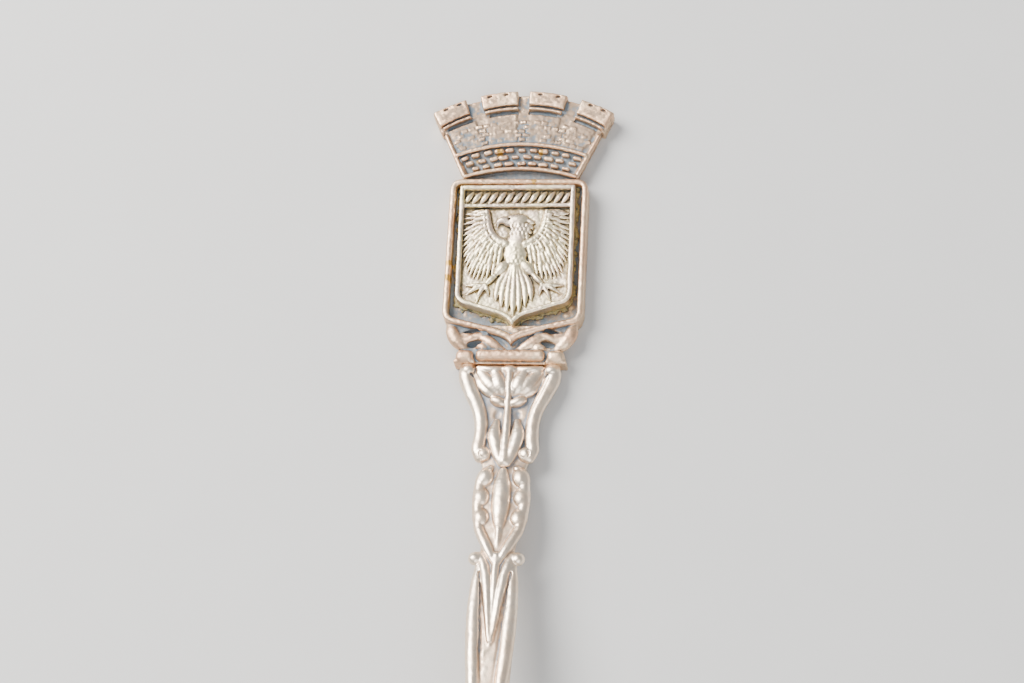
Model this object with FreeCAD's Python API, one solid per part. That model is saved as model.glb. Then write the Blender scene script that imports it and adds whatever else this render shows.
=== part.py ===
"""Souvenir spoon with a mural crown, a framed shield plaque and an ornamental handle.

Row frame, millimetres: X across the spoon, +Y from the bowl to the crown, +Z up out of the plaque.
The spoon lies the way it rests on a table. The flat back of the finial and the bottom of the bowl both
touch Z = 0, and the origin is the middle of the overall length, on the axis of symmetry.

Seven separate pieces are written, one STEP each:
  bowl              pressed sheet bowl with its heel tang
  bowl_solder       brazed film in the scarf joint between tang and handle
  handle            cast handle: console, bud, side balls and ribbed stem, with a tenon at its head
  finial_solder     solder sleeve round the tenon
  finial            cast finial: mural crown, plaque frame, scroll bracket and ledge
  plaque_adhesive   bed of glue under the plaque
  plaque            struck shield plaque with a spread-winged bird
"""

import FreeCAD, Part
import math
import os
from FreeCAD import Matrix, Vector

# ---- overall ----
LENGTH = 122.0
TOP_Y = LENGTH / 2
TIP_Y = -LENGTH / 2
BEYOND = 100.0  # half the size of a cutting block that reaches past the whole spoon

# ---- heights of the flat-backed finial, above its back ----
ROOT_Z = 1.0  # raised ornament is rooted down to here inside the plates
FLOOR_Z = 1.3  # ground of the plaque recess and of the crown's foot
BRACKET_Z = 1.6
WALL_Z = 1.9  # curtain wall of the crown
LINK_Z = 2.0  # strip that joins the ledge's bar and blocks
TOWER_Z = 2.1
BRICK_Z = 2.2
RIDGE_Z = 2.35
RIM_Z = 2.6  # rim of the plaque frame
MERLON_Z = 2.7
BAR_Z = 3.0
BLOCK_Z = 3.3

# ---- crown ----
CROWN_HALF = 10.75  # half the width across its top corners
CROWN_R = 21.4  # radius of its top edge
BACKING_DROP = 0.4  # the wall behind the merlons stands this much lower
BACKING_IN = 0.1
BAND_TOP_Y = TOP_Y - 1.75  # foot of the merlons, on the axis
BAND_R = 17.7
BAND_HALF = 9.85
MERLONS = ((0.7, 5.2), (6.9, CROWN_HALF))  # inner and outer merlon, right of the axis
MERLON_FOOT_SCALE = BAND_HALF / CROWN_HALF
MERLON_EDGE_R = 0.2
CORNICE_H = 0.45
CORNICE_DROP = 0.15
CORNICE_IN = 0.35
CORNICE_TAPER = 0.98
TOWER_IN = 0.3
TOWER_TAPER = 0.8
WALL_HALF_TOP = 9.25
WALL_HALF_FOOT = 6.5
CROWN_FOOT_Y = TOP_Y - 11.2

# ---- brick band ----
COURSE_R = 20.5  # radius of its two ridges and of its courses
UPPER_RIDGE_Y = TOP_Y - 6.55
LOWER_RIDGE_Y = TOP_Y - 9.7
RIDGE_W = 0.45
RIDGE_END_DROP = 1.3  # a ridge's ends lie about this much below its crown
BRICK_L, BRICK_H, BRICK_PITCH, COURSES = 0.95, 0.48, 1.33, 3
BRICK_MARGIN = 0.15

# ---- shields: the plaque frame and the plaque ----
# A foot is five heights above the shield's point: where the side starts to bend in, the bend's middle and
# end, and where the ogee to the point starts and its middle.
BEND_IN = (0.42, 1.5)  # how far in from the side the bend's middle and end lie
OGEE_X = (2.3, 1.0)  # half widths where the ogee starts and at its middle
INSET_RISE = (0.0, 0.5, 1.0, 1.1, 1.3, 1.6)  # rise of those heights, and of the point, per unit of inset
FRAME_TOP_Y = TOP_Y - 11.5
FRAME_TIP_Y = FRAME_TOP_Y - 20.8
FRAME_HALF = 8.1
FRAME_CORNER_R = 0.8
FRAME_FOOT = (4.5, 3.1, 2.55, 1.45, 0.95)
RIM_W = 0.72
RIM_EDGE_R = 0.25
PLAQUE_TOP_Y = FRAME_TOP_Y - 0.95
PLAQUE_TIP_Y = FRAME_TIP_Y + 2.2
PLAQUE_HALF = 6.75
PLAQUE_FOOT = (3.6, 2.35, 1.85, 1.3, 0.85)
PLAQUE_RIM_W = 0.55
PLAQUE_EDGE_R = 0.15
GLUE_T = 0.25
GLUE_SQUEEZE = 0.2  # the glue stands out this far round the plaque
PLAQUE_Z = FLOOR_Z + GLUE_T
FIELD_Z = 2.3  # ground of the plaque's picture
PLAQUE_RIM_Z = 3.0
PLAQUE_TURN_DEG = 0.6  # the plaque was glued slightly crooked

# ---- relief on the plaque ----
TITLE_Y = PLAQUE_TOP_Y - 2.7  # bar under the title band
TITLE_BAR_H, TITLE_BAR_Z = 0.4, 2.8
STRANDS, STRAND_L, STRAND_W, STRAND_RISE, STRAND_LEAN_DEG = 13, 1.5, 0.5, 0.42, 55.0
SHOULDER, WRIST = (0.9, 41.1), (3.9, 45.0)  # ends of the wing's leading edge
WING_TIPS = (
    (5.6, 45.1),
    (5.9, 43.8),
    (6.0, 42.5),
    (6.0, 41.2),
    (5.9, 39.8),
    (5.5, 38.4),
    (4.6, 37.3),
    (3.1, 36.9),
)
TAIL_ROOT_Y, TAIL_TIP_Y, TAIL_FEATHERS = 38.4, 33.0, 5
ANKLE = (3.9, 35.7)
TOES = ((5.6, 35.5), (5.1, 34.3), (3.9, 34.0))

# ---- bracket, ledge and joint with the handle ----
LEDGE_TOP_Y = TOP_Y - 32.8
LEDGE_BOTTOM_Y = TOP_Y - 34.5
SCROLL_R = 0.42
BAR_HALF, BAR_EDGE_R = 3.9, 0.5
BLOCK_INNER, BLOCK_OUTER, BLOCK_EDGE_R = 4.1, 6.45, 0.4
TENON_HALF, TENON_L = 2.4, 2.4
TENON_Z0, TENON_Z1 = 0.45, 1.2
TENON_ROOT = 1.0  # length of the tenon inside the handle's head
SOLDER_T = 0.08

# ---- handle ----
HANDLE_Z = 1.15  # middle of the handle's core at the ledge
HANDLE_RISE = 6.3
RISE_RUN = 50.0
SECTION_POINTS = 16
SQUARENESS = 3.0  # 2 makes the core's section an ellipse, more makes it squarer
RAIL_R, STEM_R, RIB_R, STEM_RIB_R = 0.62, 0.32, 0.36, 0.42
BALL_X, BALL_Y, BALL_R, BALL_LIFT = 2.4, TOP_Y - 58.25, 0.68, 0.5
SCARF_Y = -18.0
SCARF_DEG = 45.0
SCARF_T = 0.1

# Core of the handle: (y, half width, half thickness).
CORE = (
    (26.5, 5.85, 0.80),
    (25.2, 5.75, 0.80),
    (23.6, 5.15, 0.80),
    (21.8, 4.20, 0.82),
    (20.0, 3.68, 0.86),
    (17.8, 3.60, 0.92),
    (16.2, 3.65, 0.95),
    (15.0, 3.20, 1.00),
    (14.1, 2.80, 1.05),
    (12.4, 3.00, 1.15),
    (9.6, 3.15, 1.22),
    (7.0, 2.75, 1.22),
    (5.0, 2.05, 1.20),
    (2.8, 1.90, 1.15),
    (0.8, 2.15, 1.10),
    (-2.6, 2.55, 1.08),
    (-6.2, 2.62, 1.08),
    (-11.7, 2.35, 1.10),
    (-16.0, 1.95, 1.15),
    (-20.0, 1.75, 1.20),
    (-23.0, 2.10, 1.20),
)
HEEL = (-25.6, 6.35, 2.6, 1.15)  # core where it meets the bowl's rim: (y, z, half width, half thickness)
# Tang under the bowl: (y, height over the bowl's outer surface, half width, half thickness).
TANG = ((-28.0, 0.25, 2.3, 0.85), (-31.0, 0.15, 1.4, 0.55), (-33.5, 0.15, 0.5, 0.30))

# ---- bowl ----
BOWL_MID_Y = -41.0  # widest place
BOWL_HALF = 12.0
HEEL_Y = -24.5
BOWL_RIM_Z = 7.0
BOWL_CENTRE_Z = 12.0  # centre of the ellipsoids whose lower cap is the bowl
SHEET = 1.0


# ---------------------------------------------------------------- helpers


def edge_list(start, steps):
    """Edges from start: a step of two numbers is a line to that point, four numbers an arc through to end."""
    edges = []
    here = Vector(start[0], start[1], 0)
    for step in steps:
        end = Vector(step[-2], step[-1], 0)
        if len(step) == 2:
            edges.append(Part.makeLine(here, end))
        else:
            middle = Vector(step[0], step[1], 0)
            edges.append(Part.Arc(here, middle, end).toShape())
        here = end
    return edges


def closed_face(start, steps):
    """Face of an outline whose last step ends at its start."""
    return Part.Face(Part.Wire(edge_list(start, steps)))


def symmetric_face(start, steps):
    """Face of an outline given on its right side, from the axis at the top to the axis at the bottom."""
    right = edge_list(start, steps)
    mirrored = [(-s[0], s[1]) if len(s) == 2 else (-s[0], s[1], -s[2], s[3]) for s in steps]
    left = edge_list((-start[0], start[1]), mirrored)
    return Part.Face(Part.Wire(Part.__sortEdges__(right + left)))


def prism(face, low, high):
    """Face extruded from height low to height high."""
    placed = face.copy()
    placed.translate(Vector(0, 0, low))
    return placed.extrude(Vector(0, 0, high - low))


def block(low, high):
    """Box between two opposite corners."""
    size = Vector(*high) - Vector(*low)
    return Part.makeBox(size.x, size.y, size.z, Vector(*low))


def both_sides(shape):
    """The shape and its mirror image across the axis."""
    return [shape, shape.mirror(Vector(0, 0, 0), Vector(1, 0, 0))]


def round_top(solid, radius):
    """The solid with the edges of its highest flat face rounded."""
    top = solid.BoundBox.ZMax
    edges = [e for e in solid.Edges if e.BoundBox.ZMin > top - 1e-4]
    return solid.makeFillet(radius, edges)


def arch(apex, radius, x):
    """Height, at x, of an arc that crowns at apex on the axis."""
    return apex - (radius - math.sqrt(radius * radius - x * x))


def arc_strip(x0, x1, apex_top, radius_top, apex_low, radius_low, foot_scale=1.0):
    """Face between two arches, from x0 to x1; its lower corners are drawn in by foot_scale."""
    low0, low1 = x0 * foot_scale, x1 * foot_scale
    middle_top, middle_low = (x0 + x1) / 2, (low0 + low1) / 2
    start = (x0, arch(apex_top, radius_top, x0))
    steps = [
        (middle_top, arch(apex_top, radius_top, middle_top), x1, arch(apex_top, radius_top, x1)),
        (low1, arch(apex_low, radius_low, low1)),
        (middle_low, arch(apex_low, radius_low, middle_low), low0, arch(apex_low, radius_low, low0)),
        start,
    ]
    return closed_face(start, steps)


def shield(half, top, tip, foot, corner=0.0, inset=0.0):
    """Shield drawn in by inset: flat top, straight sides, and a foot that sweeps down to a point."""
    side, flat = half - inset, top - inset
    bend_start, bend_middle, bend_end, ogee_start, ogee_middle, point = (
        tip + height + rise * inset for height, rise in zip(foot + (0.0,), INSET_RISE)
    )
    if corner:
        cut = corner * (1 - math.sqrt(0.5))
        steps = [(side - corner, flat), (side - cut, flat - cut, side, flat - corner)]
    else:
        steps = [(side, flat)]
    steps += [
        (side, bend_start),
        (side - BEND_IN[0], bend_middle, side - BEND_IN[1], bend_end),
        (OGEE_X[0], ogee_start),
        (OGEE_X[1], ogee_middle, 0.0, point),
    ]
    return symmetric_face((0.0, flat), steps)


def ellipsoid(centre, radii, turn_deg=0.0):
    """Ellipsoid with its first radius turned turn_deg about Z from X."""
    ball = Part.makeSphere(1.0)
    scale = Matrix()
    scale.scale(Vector(*radii))
    solid = ball.transformGeometry(scale)
    solid.rotate(Vector(0, 0, 0), Vector(0, 0, 1), turn_deg)
    solid.translate(Vector(*centre))
    return solid


def petal(start, end, width, height, ground):
    """Leaf from start to end, swelling out of the ground height; ground is a function of y."""
    (x0, y0), (x1, y1) = start, end
    length = math.hypot(x1 - x0, y1 - y0)
    turn = math.degrees(math.atan2(y1 - y0, x1 - x0))
    middle_y = (y0 + y1) / 2
    return ellipsoid(((x0 + x1) / 2, middle_y, ground(middle_y)), (length / 2, width / 2, height), turn)


def feather(root, tip, width, top):
    """Lens-shaped feather from root to tip, widest past its middle, raised from the plaque's field to top."""
    (x0, y0), (x1, y1) = root, tip
    length = math.hypot(x1 - x0, y1 - y0)
    side_x, side_y = -(y1 - y0) / length * width / 2, (x1 - x0) / length * width / 2
    wide_x, wide_y = x0 + 0.6 * (x1 - x0), y0 + 0.6 * (y1 - y0)
    right_edge = (wide_x + side_x, wide_y + side_y, x1, y1)
    left_edge = (wide_x - side_x, wide_y - side_y, x0, y0)
    return prism(closed_face(root, [right_edge, left_edge]), PLAQUE_Z + 0.4, top)


def rail(points, radius, ground):
    """Round bar through plan points, half sunk in the ground height."""
    curve = Part.BSplineCurve()
    curve.interpolate([Vector(x, y, ground(y)) for x, y in points])
    start = curve.value(curve.FirstParameter)
    direction = curve.tangent(curve.FirstParameter)[0]
    profile = Part.Wire(Part.Circle(start, direction, radius).toShape())
    return Part.Wire(curve.toShape()).makePipeShell([profile], True, False)


def fused(base, extras):
    """Base and extras as one solid."""
    joined = base.multiFuse(extras).removeSplitter()
    if len(joined.Solids) != 1:
        raise ValueError(f"expected one solid, got {len(joined.Solids)}")
    return joined.Solids[0]


# ---------------------------------------------------------------- finial


def crown_wall():
    """Plate behind the whole crown, from the frame to just under the tops of the merlons."""
    apex = TOP_Y - BACKING_DROP
    corner = CROWN_HALF - BACKING_IN
    band_end_y = arch(BAND_TOP_Y, BAND_R, BAND_HALF)
    foot_y = FRAME_TOP_Y - RIM_W
    steps = [
        (corner / 2, arch(apex, CROWN_R, corner / 2), corner, arch(apex, CROWN_R, corner)),
        (BAND_HALF, band_end_y),
        (WALL_HALF_TOP, band_end_y),
        (WALL_HALF_FOOT, CROWN_FOOT_Y),
        (WALL_HALF_FOOT, foot_y),
        (0.0, foot_y),
    ]
    wall = prism(symmetric_face((0.0, apex), steps), 0.0, WALL_Z)
    return wall.cut(prism(under_arch(WALL_HALF_TOP, LOWER_RIDGE_Y - RIDGE_W, COURSE_R), FLOOR_Z, BLOCK_Z))


def under_arch(half, apex, radius):
    """Face under an arch that spans half to each side, down past the frame's top edge."""
    spring_y = arch(apex, radius, half)
    foot_y = FRAME_TOP_Y - 2 * RIM_W
    start = (-half, spring_y)
    return closed_face(start, [(0.0, apex, half, spring_y), (half, foot_y), (-half, foot_y), start])


def battlements():
    """Merlons, the cornice under each, and the tower face below it, on both sides."""
    parts = []
    cornice_top = BAND_TOP_Y - CORNICE_DROP
    tower_top = cornice_top - CORNICE_H
    for x0, x1 in MERLONS:
        merlon = arc_strip(x0, x1, TOP_Y, CROWN_R, BAND_TOP_Y, BAND_R, MERLON_FOOT_SCALE)
        parts += both_sides(round_top(prism(merlon, ROOT_Z, MERLON_Z), MERLON_EDGE_R))
        foot0 = x0 * MERLON_FOOT_SCALE
        foot1 = min(x1 * MERLON_FOOT_SCALE, BAND_HALF - CORNICE_IN)
        cornice = arc_strip(foot0, foot1, cornice_top, BAND_R, tower_top, BAND_R, CORNICE_TAPER)
        parts += both_sides(prism(cornice, ROOT_Z, RIDGE_Z))
        tower_out = min(foot1, WALL_HALF_TOP - TOWER_IN)
        tower = arc_strip(foot0, tower_out, tower_top, BAND_R, UPPER_RIDGE_Y, COURSE_R, TOWER_TAPER)
        parts += both_sides(prism(tower, ROOT_Z, TOWER_Z))
    return parts


def wall_half(y):
    """Half the crown's width at height y."""
    share = (y - CROWN_FOOT_Y) / (arch(BAND_TOP_Y, BAND_R, BAND_HALF) - CROWN_FOOT_Y)
    return WALL_HALF_FOOT + share * (WALL_HALF_TOP - WALL_HALF_FOOT)


def ridges():
    """The two arched ridges of the brick band."""
    parts = []
    for apex in (UPPER_RIDGE_Y, LOWER_RIDGE_Y):
        half = wall_half(apex - RIDGE_END_DROP)
        strip = arc_strip(-half, half, apex, COURSE_R, apex - RIDGE_W, COURSE_R)
        parts.append(prism(strip, ROOT_Z, RIDGE_Z))
    return parts


def bricks():
    """Courses of bricks between the ridges, every second course set half a brick over."""
    parts = []
    clear = UPPER_RIDGE_Y - RIDGE_W - LOWER_RIDGE_Y
    for course in range(COURSES):
        middle = LOWER_RIDGE_Y + clear * (course + 0.5) / COURSES
        upper, lower = middle + BRICK_H / 2, middle - BRICK_H / 2
        half = wall_half(middle - 2 * BRICK_H) - BRICK_L / 2 - BRICK_MARGIN
        count = int(2 * half / BRICK_PITCH)
        shift = BRICK_PITCH / 2 if course % 2 else 0.0
        for k in range(count):
            x = (k - (count - 1) / 2) * BRICK_PITCH + shift
            if abs(x) < half:
                brick = arc_strip(x - BRICK_L / 2, x + BRICK_L / 2, upper, COURSE_R, lower, COURSE_R)
                parts.append(prism(brick, ROOT_Z, BRICK_Z))
    return parts


def plaque_frame():
    """Tray that holds the plaque: a flat floor with a rounded rim round it."""
    outline = shield(FRAME_HALF, FRAME_TOP_Y, FRAME_TIP_Y, FRAME_FOOT, FRAME_CORNER_R)
    inner = shield(FRAME_HALF, FRAME_TOP_Y, FRAME_TIP_Y, FRAME_FOOT, FRAME_CORNER_R, RIM_W)
    tray = round_top(prism(outline, 0.0, RIM_Z), RIM_EDGE_R)
    return tray.cut(prism(inner, FLOOR_Z, BLOCK_Z))


def bracket_ground(_y):
    """Height of the bracket's plate."""
    return BRACKET_Z


def scroll_bracket():
    """Plate, two scrolls and a bead on each side, between the frame's tip and the ledge."""
    foot_y = LEDGE_TOP_Y - 0.3
    steps = [
        (7.2, FRAME_TIP_Y + 2.9),
        (6.95, FRAME_TIP_Y + 0.9, 5.9, LEDGE_TOP_Y + 0.2),
        (5.2, foot_y),
        (0.0, foot_y),
    ]
    parts = [prism(symmetric_face((0.0, FRAME_TIP_Y + 2.2), steps), 0.0, BRACKET_Z)]
    outer_scroll = [(6.9, FRAME_TIP_Y + 2.0), (6.4, 29.3), (5.4, 28.75), (4.6, 29.3), (4.9, 30.0)]
    inner_scroll = [(4.2, 28.7), (3.0, 29.2), (2.0, 29.7), (1.0, 29.0), (0.7, 28.5)]
    for path in (outer_scroll, inner_scroll):
        parts += both_sides(rail(path, SCROLL_R, bracket_ground))
    bead = ellipsoid((3.2, 28.75, BRACKET_Z), (0.9, 0.5, 0.5))
    return parts + both_sides(bead)


def ledge():
    """Bar with a flared block at each end, capping the head of the handle."""
    bar = block((-BAR_HALF, LEDGE_BOTTOM_Y, 0), (BAR_HALF, LEDGE_TOP_Y, BAR_Z))
    link_half = BLOCK_INNER + 0.5
    link = block((-link_half, LEDGE_BOTTOM_Y, 0), (link_half, LEDGE_TOP_Y, LINK_Z))
    shoulder_y = LEDGE_TOP_Y - 0.55
    start = (BLOCK_INNER, LEDGE_BOTTOM_Y)
    steps = [
        (BLOCK_INNER, shoulder_y),
        (BLOCK_INNER + 0.2, LEDGE_TOP_Y - 0.12, BLOCK_INNER + 0.65, LEDGE_TOP_Y),
        (BLOCK_OUTER - 0.6, LEDGE_TOP_Y),
        (BLOCK_OUTER - 0.3, shoulder_y, BLOCK_OUTER, LEDGE_BOTTOM_Y),
        start,
    ]
    end_block = round_top(prism(closed_face(start, steps), 0.0, BLOCK_Z), BLOCK_EDGE_R)
    return [round_top(bar, BAR_EDGE_R), link] + both_sides(end_block)


def socket_box(margin):
    """Box of the tenon, grown by margin on its sides and end."""
    half = TENON_HALF + margin
    end_y = LEDGE_BOTTOM_Y + TENON_L + margin
    return block((-half, LEDGE_BOTTOM_Y, TENON_Z0 - margin), (half, end_y, TENON_Z1 + margin))


def make_finial():
    ornament = battlements() + ridges() + bricks() + [plaque_frame()] + scroll_bracket() + ledge()
    return fused(crown_wall(), ornament).cut(socket_box(SOLDER_T))


def make_finial_solder():
    return socket_box(SOLDER_T).cut(socket_box(0.0))


# ---------------------------------------------------------------- plaque


def field(_y):
    """Height of the ground behind the bird."""
    return FIELD_Z


def wings():
    """Fanned feathers behind a leading edge that runs from the shoulder up to the wrist."""
    parts = both_sides(petal(SHOULDER, WRIST, 0.75, 0.5, field))
    last = len(WING_TIPS) - 1
    for k, tip in enumerate(WING_TIPS):
        share = k / last
        root = tuple(w + share * (s - w) for w, s in zip(WRIST, SHOULDER))
        parts += both_sides(feather(root, tip, 0.95, FIELD_Z + 0.2 + 0.02 * k))
    return parts


def tail():
    """Fan of feathers, the middle one longest."""
    parts = []
    for k in range(TAIL_FEATHERS):
        place = k - (TAIL_FEATHERS - 1) / 2
        root, tip = (0.25 * place, TAIL_ROOT_Y), (0.85 * place, TAIL_TIP_Y + 0.3 * abs(place))
        parts.append(feather(root, tip, 0.95, FIELD_Z + 0.33 - 0.02 * k))
    return parts


def legs():
    """Thigh, shank and three toes on each side."""
    hip = (0.8, 38.3)
    parts = both_sides(petal(hip, (2.6, 36.9), 1.0, 0.45, field))
    parts += both_sides(feather(hip, ANKLE, 0.7, FIELD_Z + 0.28))
    for k, toe in enumerate(TOES):
        parts += both_sides(feather((ANKLE[0] - 0.1, ANKLE[1] + 0.2), toe, 0.55, FIELD_Z + 0.2 + 0.02 * k))
    return parts


def trunk():
    """Body, neck, head turned to the left, and beak."""
    body = ellipsoid((0, 40.2, FIELD_Z), (1.35, 2.7, 0.6))
    neck = ellipsoid((0, 42.9, FIELD_Z), (0.75, 1.5, 0.55))
    head = ellipsoid((-0.2, 44.2, FIELD_Z), (0.95, 0.65, 0.6))
    beak = feather((-0.7, 44.4), (-1.9, 43.9), 0.6, FIELD_Z + 0.4)
    return [body, neck, head, beak]


def title_band():
    """Bar under the title band, and a plain twisted rope moulding in the band."""
    inner = PLAQUE_HALF - PLAQUE_RIM_W
    bar_top_y = TITLE_Y + TITLE_BAR_H
    buried = inner + PLAQUE_RIM_W / 5
    parts = [block((-buried, TITLE_Y, PLAQUE_Z), (buried, bar_top_y, TITLE_BAR_Z))]
    middle_y = (bar_top_y + PLAQUE_TOP_Y - PLAQUE_RIM_W) / 2
    pitch = (2 * inner - STRAND_W) / STRANDS
    for k in range(STRANDS):
        x = (k - (STRANDS - 1) / 2) * pitch
        radii = (STRAND_L / 2, STRAND_W / 2, STRAND_RISE)
        parts.append(ellipsoid((x, middle_y, FIELD_Z), radii, STRAND_LEAN_DEG))
    return parts


def glued_crooked(shape):
    """The shape turned with the plaque about the middle of the frame."""
    turned = shape.copy()
    turned.rotate(Vector(0, (FRAME_TOP_Y + FRAME_TIP_Y) / 2, 0), Vector(0, 0, 1), PLAQUE_TURN_DEG)
    return turned


def plaque_shield(inset):
    """Outline of the plaque, drawn in by inset."""
    return shield(PLAQUE_HALF, PLAQUE_TOP_Y, PLAQUE_TIP_Y, PLAQUE_FOOT, 0.0, inset)


def make_plaque():
    blank = round_top(prism(plaque_shield(0.0), PLAQUE_Z, PLAQUE_RIM_Z), PLAQUE_EDGE_R)
    sunk = prism(plaque_shield(PLAQUE_RIM_W), FIELD_Z, BLOCK_Z)
    relief = title_band() + wings() + tail() + legs() + trunk()
    return glued_crooked(fused(blank.cut(sunk), relief))


def make_adhesive():
    return glued_crooked(prism(plaque_shield(-GLUE_SQUEEZE), FLOOR_Z, PLAQUE_Z))


# ---------------------------------------------------------------- handle


def core_z(y):
    """Middle height of the handle: flat at the ledge, rising in one smooth bend to the neck."""
    run = min(max(LEDGE_BOTTOM_Y - y, 0.0), RISE_RUN)
    return HANDLE_Z + HANDLE_RISE * (1 - math.cos(math.pi * run / RISE_RUN)) / 2


def core_front(y):
    """Height of the front of the handle's core on the axis."""
    for (y0, _, t0), (y1, _, t1) in zip(CORE, CORE[1:]):
        if y >= y1:
            return core_z(y) + t1 + (t0 - t1) * (min(y, y0) - y1) / (y0 - y1)
    return core_z(y) + CORE[-1][2]


def section(y, z, half_width, half_height):
    """Closed rounded section across the handle."""
    points = []
    for k in range(SECTION_POINTS):
        angle = 2 * math.pi * (k + 0.5) / SECTION_POINTS
        c, s = math.cos(angle), math.sin(angle)
        x = half_width * math.copysign(abs(c) ** (2 / SQUARENESS), c)
        h = half_height * math.copysign(abs(s) ** (2 / SQUARENESS), s)
        points.append(Vector(x, y, z + h))
    curve = Part.BSplineCurve()
    curve.interpolate(points, PeriodicFlag=True)
    return Part.Wire(curve.toShape())


def bowl_back_z(y):
    """Height of the bowl's outer surface on the axis, towards the heel."""
    reach, height = egg_radii(HEEL_Y - BOWL_MID_Y, 0.0)
    share = (y - BOWL_MID_Y) / reach
    return BOWL_CENTRE_Z - height * math.sqrt(max(0.0, 1 - share * share))


def handle_core():
    """Loft of the whole bar from the ledge to the end of the tang under the bowl."""
    wires = [section(y, core_z(y), w, t) for y, w, t in CORE]
    wires.append(section(*HEEL))
    wires += [section(y, bowl_back_z(y) + lift, w, t) for y, lift, w, t in TANG]
    return Part.makeLoft(wires, True, False)


def scarf_cutter(offset):
    """Everything on the crown's side of the scarf plane, moved along the handle by offset."""
    cutter = block((-BEYOND, 0, -BEYOND), (BEYOND, 2 * BEYOND, BEYOND))
    cutter.rotate(Vector(0, 0, 0), Vector(1, 0, 0), SCARF_DEG)
    cutter.translate(Vector(0, SCARF_Y + offset, core_z(SCARF_Y)))
    return cutter


def console_relief():
    """Side rails with volutes, and the leaves and stem between them."""
    rail_path = [
        (5.1, LEDGE_BOTTOM_Y - 0.3),
        (5.05, 25.0),
        (4.35, 23.2),
        (3.5, 21.4),
        (3.05, 19.6),
        (3.0, 17.6),
        (3.05, 16.3),
        (2.75, 15.2),
    ]
    stem_path = [(0, 26.2), (0, 23), (0, 19.5), (0, 16.0), (0, 14.3)]
    sides = [
        rail(rail_path, RAIL_R, core_front),
        ellipsoid((2.35, 15.6, core_front(15.6)), (0.85, 0.85, 0.75)),
        ellipsoid((4.75, 25.7, core_front(25.7)), (0.75, 0.6, 0.6)),
        petal((0.2, 21.9), (3.6, 25.4), 1.9, 0.55, core_front),
        petal((0.1, 20.9), (1.9, 22.4), 1.3, 0.45, core_front),
        petal((0.1, 14.6), (1.35, 19.4), 0.9, 0.4, core_front),
    ]
    middle = [rail(stem_path, STEM_R, core_front), ellipsoid((0, 25.7, core_front(25.7)), (0.75, 0.5, 0.5))]
    return middle + [half for shape in sides for half in both_sides(shape)]


def bud_relief():
    """Oval bud with a centre leaf, three beads on each side, ribs that meet below it and two side balls."""
    parts = [petal((0, 6.4), (0, 13.6), 1.9, 0.5, core_front)]
    for x, y in ((2.1, 12.5), (2.35, 10.1), (2.15, 7.7)):
        parts += both_sides(ellipsoid((x, y, core_front(y) - 0.1), (0.75, 1.2, 0.55)))
    parts += both_sides(rail([(2.2, 6.2), (1.5, 4.9), (0.8, 3.7), (0.3, 2.5)], RIB_R, core_front))
    parts += both_sides(Part.makeSphere(BALL_R, Vector(BALL_X, BALL_Y, core_z(BALL_Y) + BALL_LIFT)))
    return parts


def stem_relief():
    """Long centre leaf between two side ribs that close up towards the neck."""
    rib = [(1.35, 2.3), (1.85, 0.0), (2.05, -3.5), (2.05, -7.0), (1.75, -11.7), (1.05, -16.0)]
    parts = both_sides(rail(rib, STEM_RIB_R, core_front))
    parts.append(petal((0, 3.2), (0, -9.6), 1.3, 0.4, core_front))
    return parts


def make_handle(core):
    upper = core.common(scarf_cutter(SCARF_T / 2))
    past_ledge = block((-BEYOND, LEDGE_BOTTOM_Y, -BEYOND), (BEYOND, BEYOND, BEYOND))
    relief = [r.cut(past_ledge) for r in console_relief()] + bud_relief() + stem_relief()
    root = (-TENON_HALF, LEDGE_BOTTOM_Y - TENON_ROOT, TENON_Z0)
    tenon = block(root, (TENON_HALF, LEDGE_BOTTOM_Y + TENON_L, TENON_Z1))
    return fused(upper, relief + [tenon])


def make_bowl_solder(core):
    return core.common(scarf_cutter(-SCARF_T / 2)).cut(scarf_cutter(SCARF_T / 2))


# ---------------------------------------------------------------- bowl


def egg_radii(reach, thickness):
    """Semi-length and semi-height of the ellipsoid whose cap at the rim is reach long, less thickness."""
    height = BOWL_CENTRE_Z - thickness
    at_rim = math.sqrt(1 - ((BOWL_CENTRE_Z - BOWL_RIM_Z) / height) ** 2)
    return (reach - thickness) / at_rim, height


def egg(thickness):
    """Egg-shaped solid: two half ellipsoids that share their widest section."""
    half_x, height = egg_radii(BOWL_HALF, thickness)
    heel_length, _ = egg_radii(HEEL_Y - BOWL_MID_Y, thickness)
    tip_length, _ = egg_radii(BOWL_MID_Y - TIP_Y, thickness)
    centre = (0, BOWL_MID_Y, BOWL_CENTRE_Z)
    towards_heel = block((-BEYOND, BOWL_MID_Y, -BEYOND), (BEYOND, BEYOND, BEYOND))
    towards_tip = block((-BEYOND, -BEYOND, -BEYOND), (BEYOND, BOWL_MID_Y, BEYOND))
    heel_half = ellipsoid(centre, (half_x, heel_length, height)).common(towards_heel)
    tip_half = ellipsoid(centre, (half_x, tip_length, height)).common(towards_tip)
    return heel_half.fuse(tip_half)


def make_bowl(core):
    below_rim = block((-BEYOND, -BEYOND, -BEYOND), (BEYOND, BEYOND, BOWL_RIM_Z))
    tang = core.cut(scarf_cutter(-SCARF_T / 2))
    body = egg(0.0).common(below_rim).fuse(tang)
    bowl = body.cut(egg(SHEET)).removeSplitter()
    return max(bowl.Solids, key=lambda solid: solid.Volume)


# ---------------------------------------------------------------- build


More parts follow.
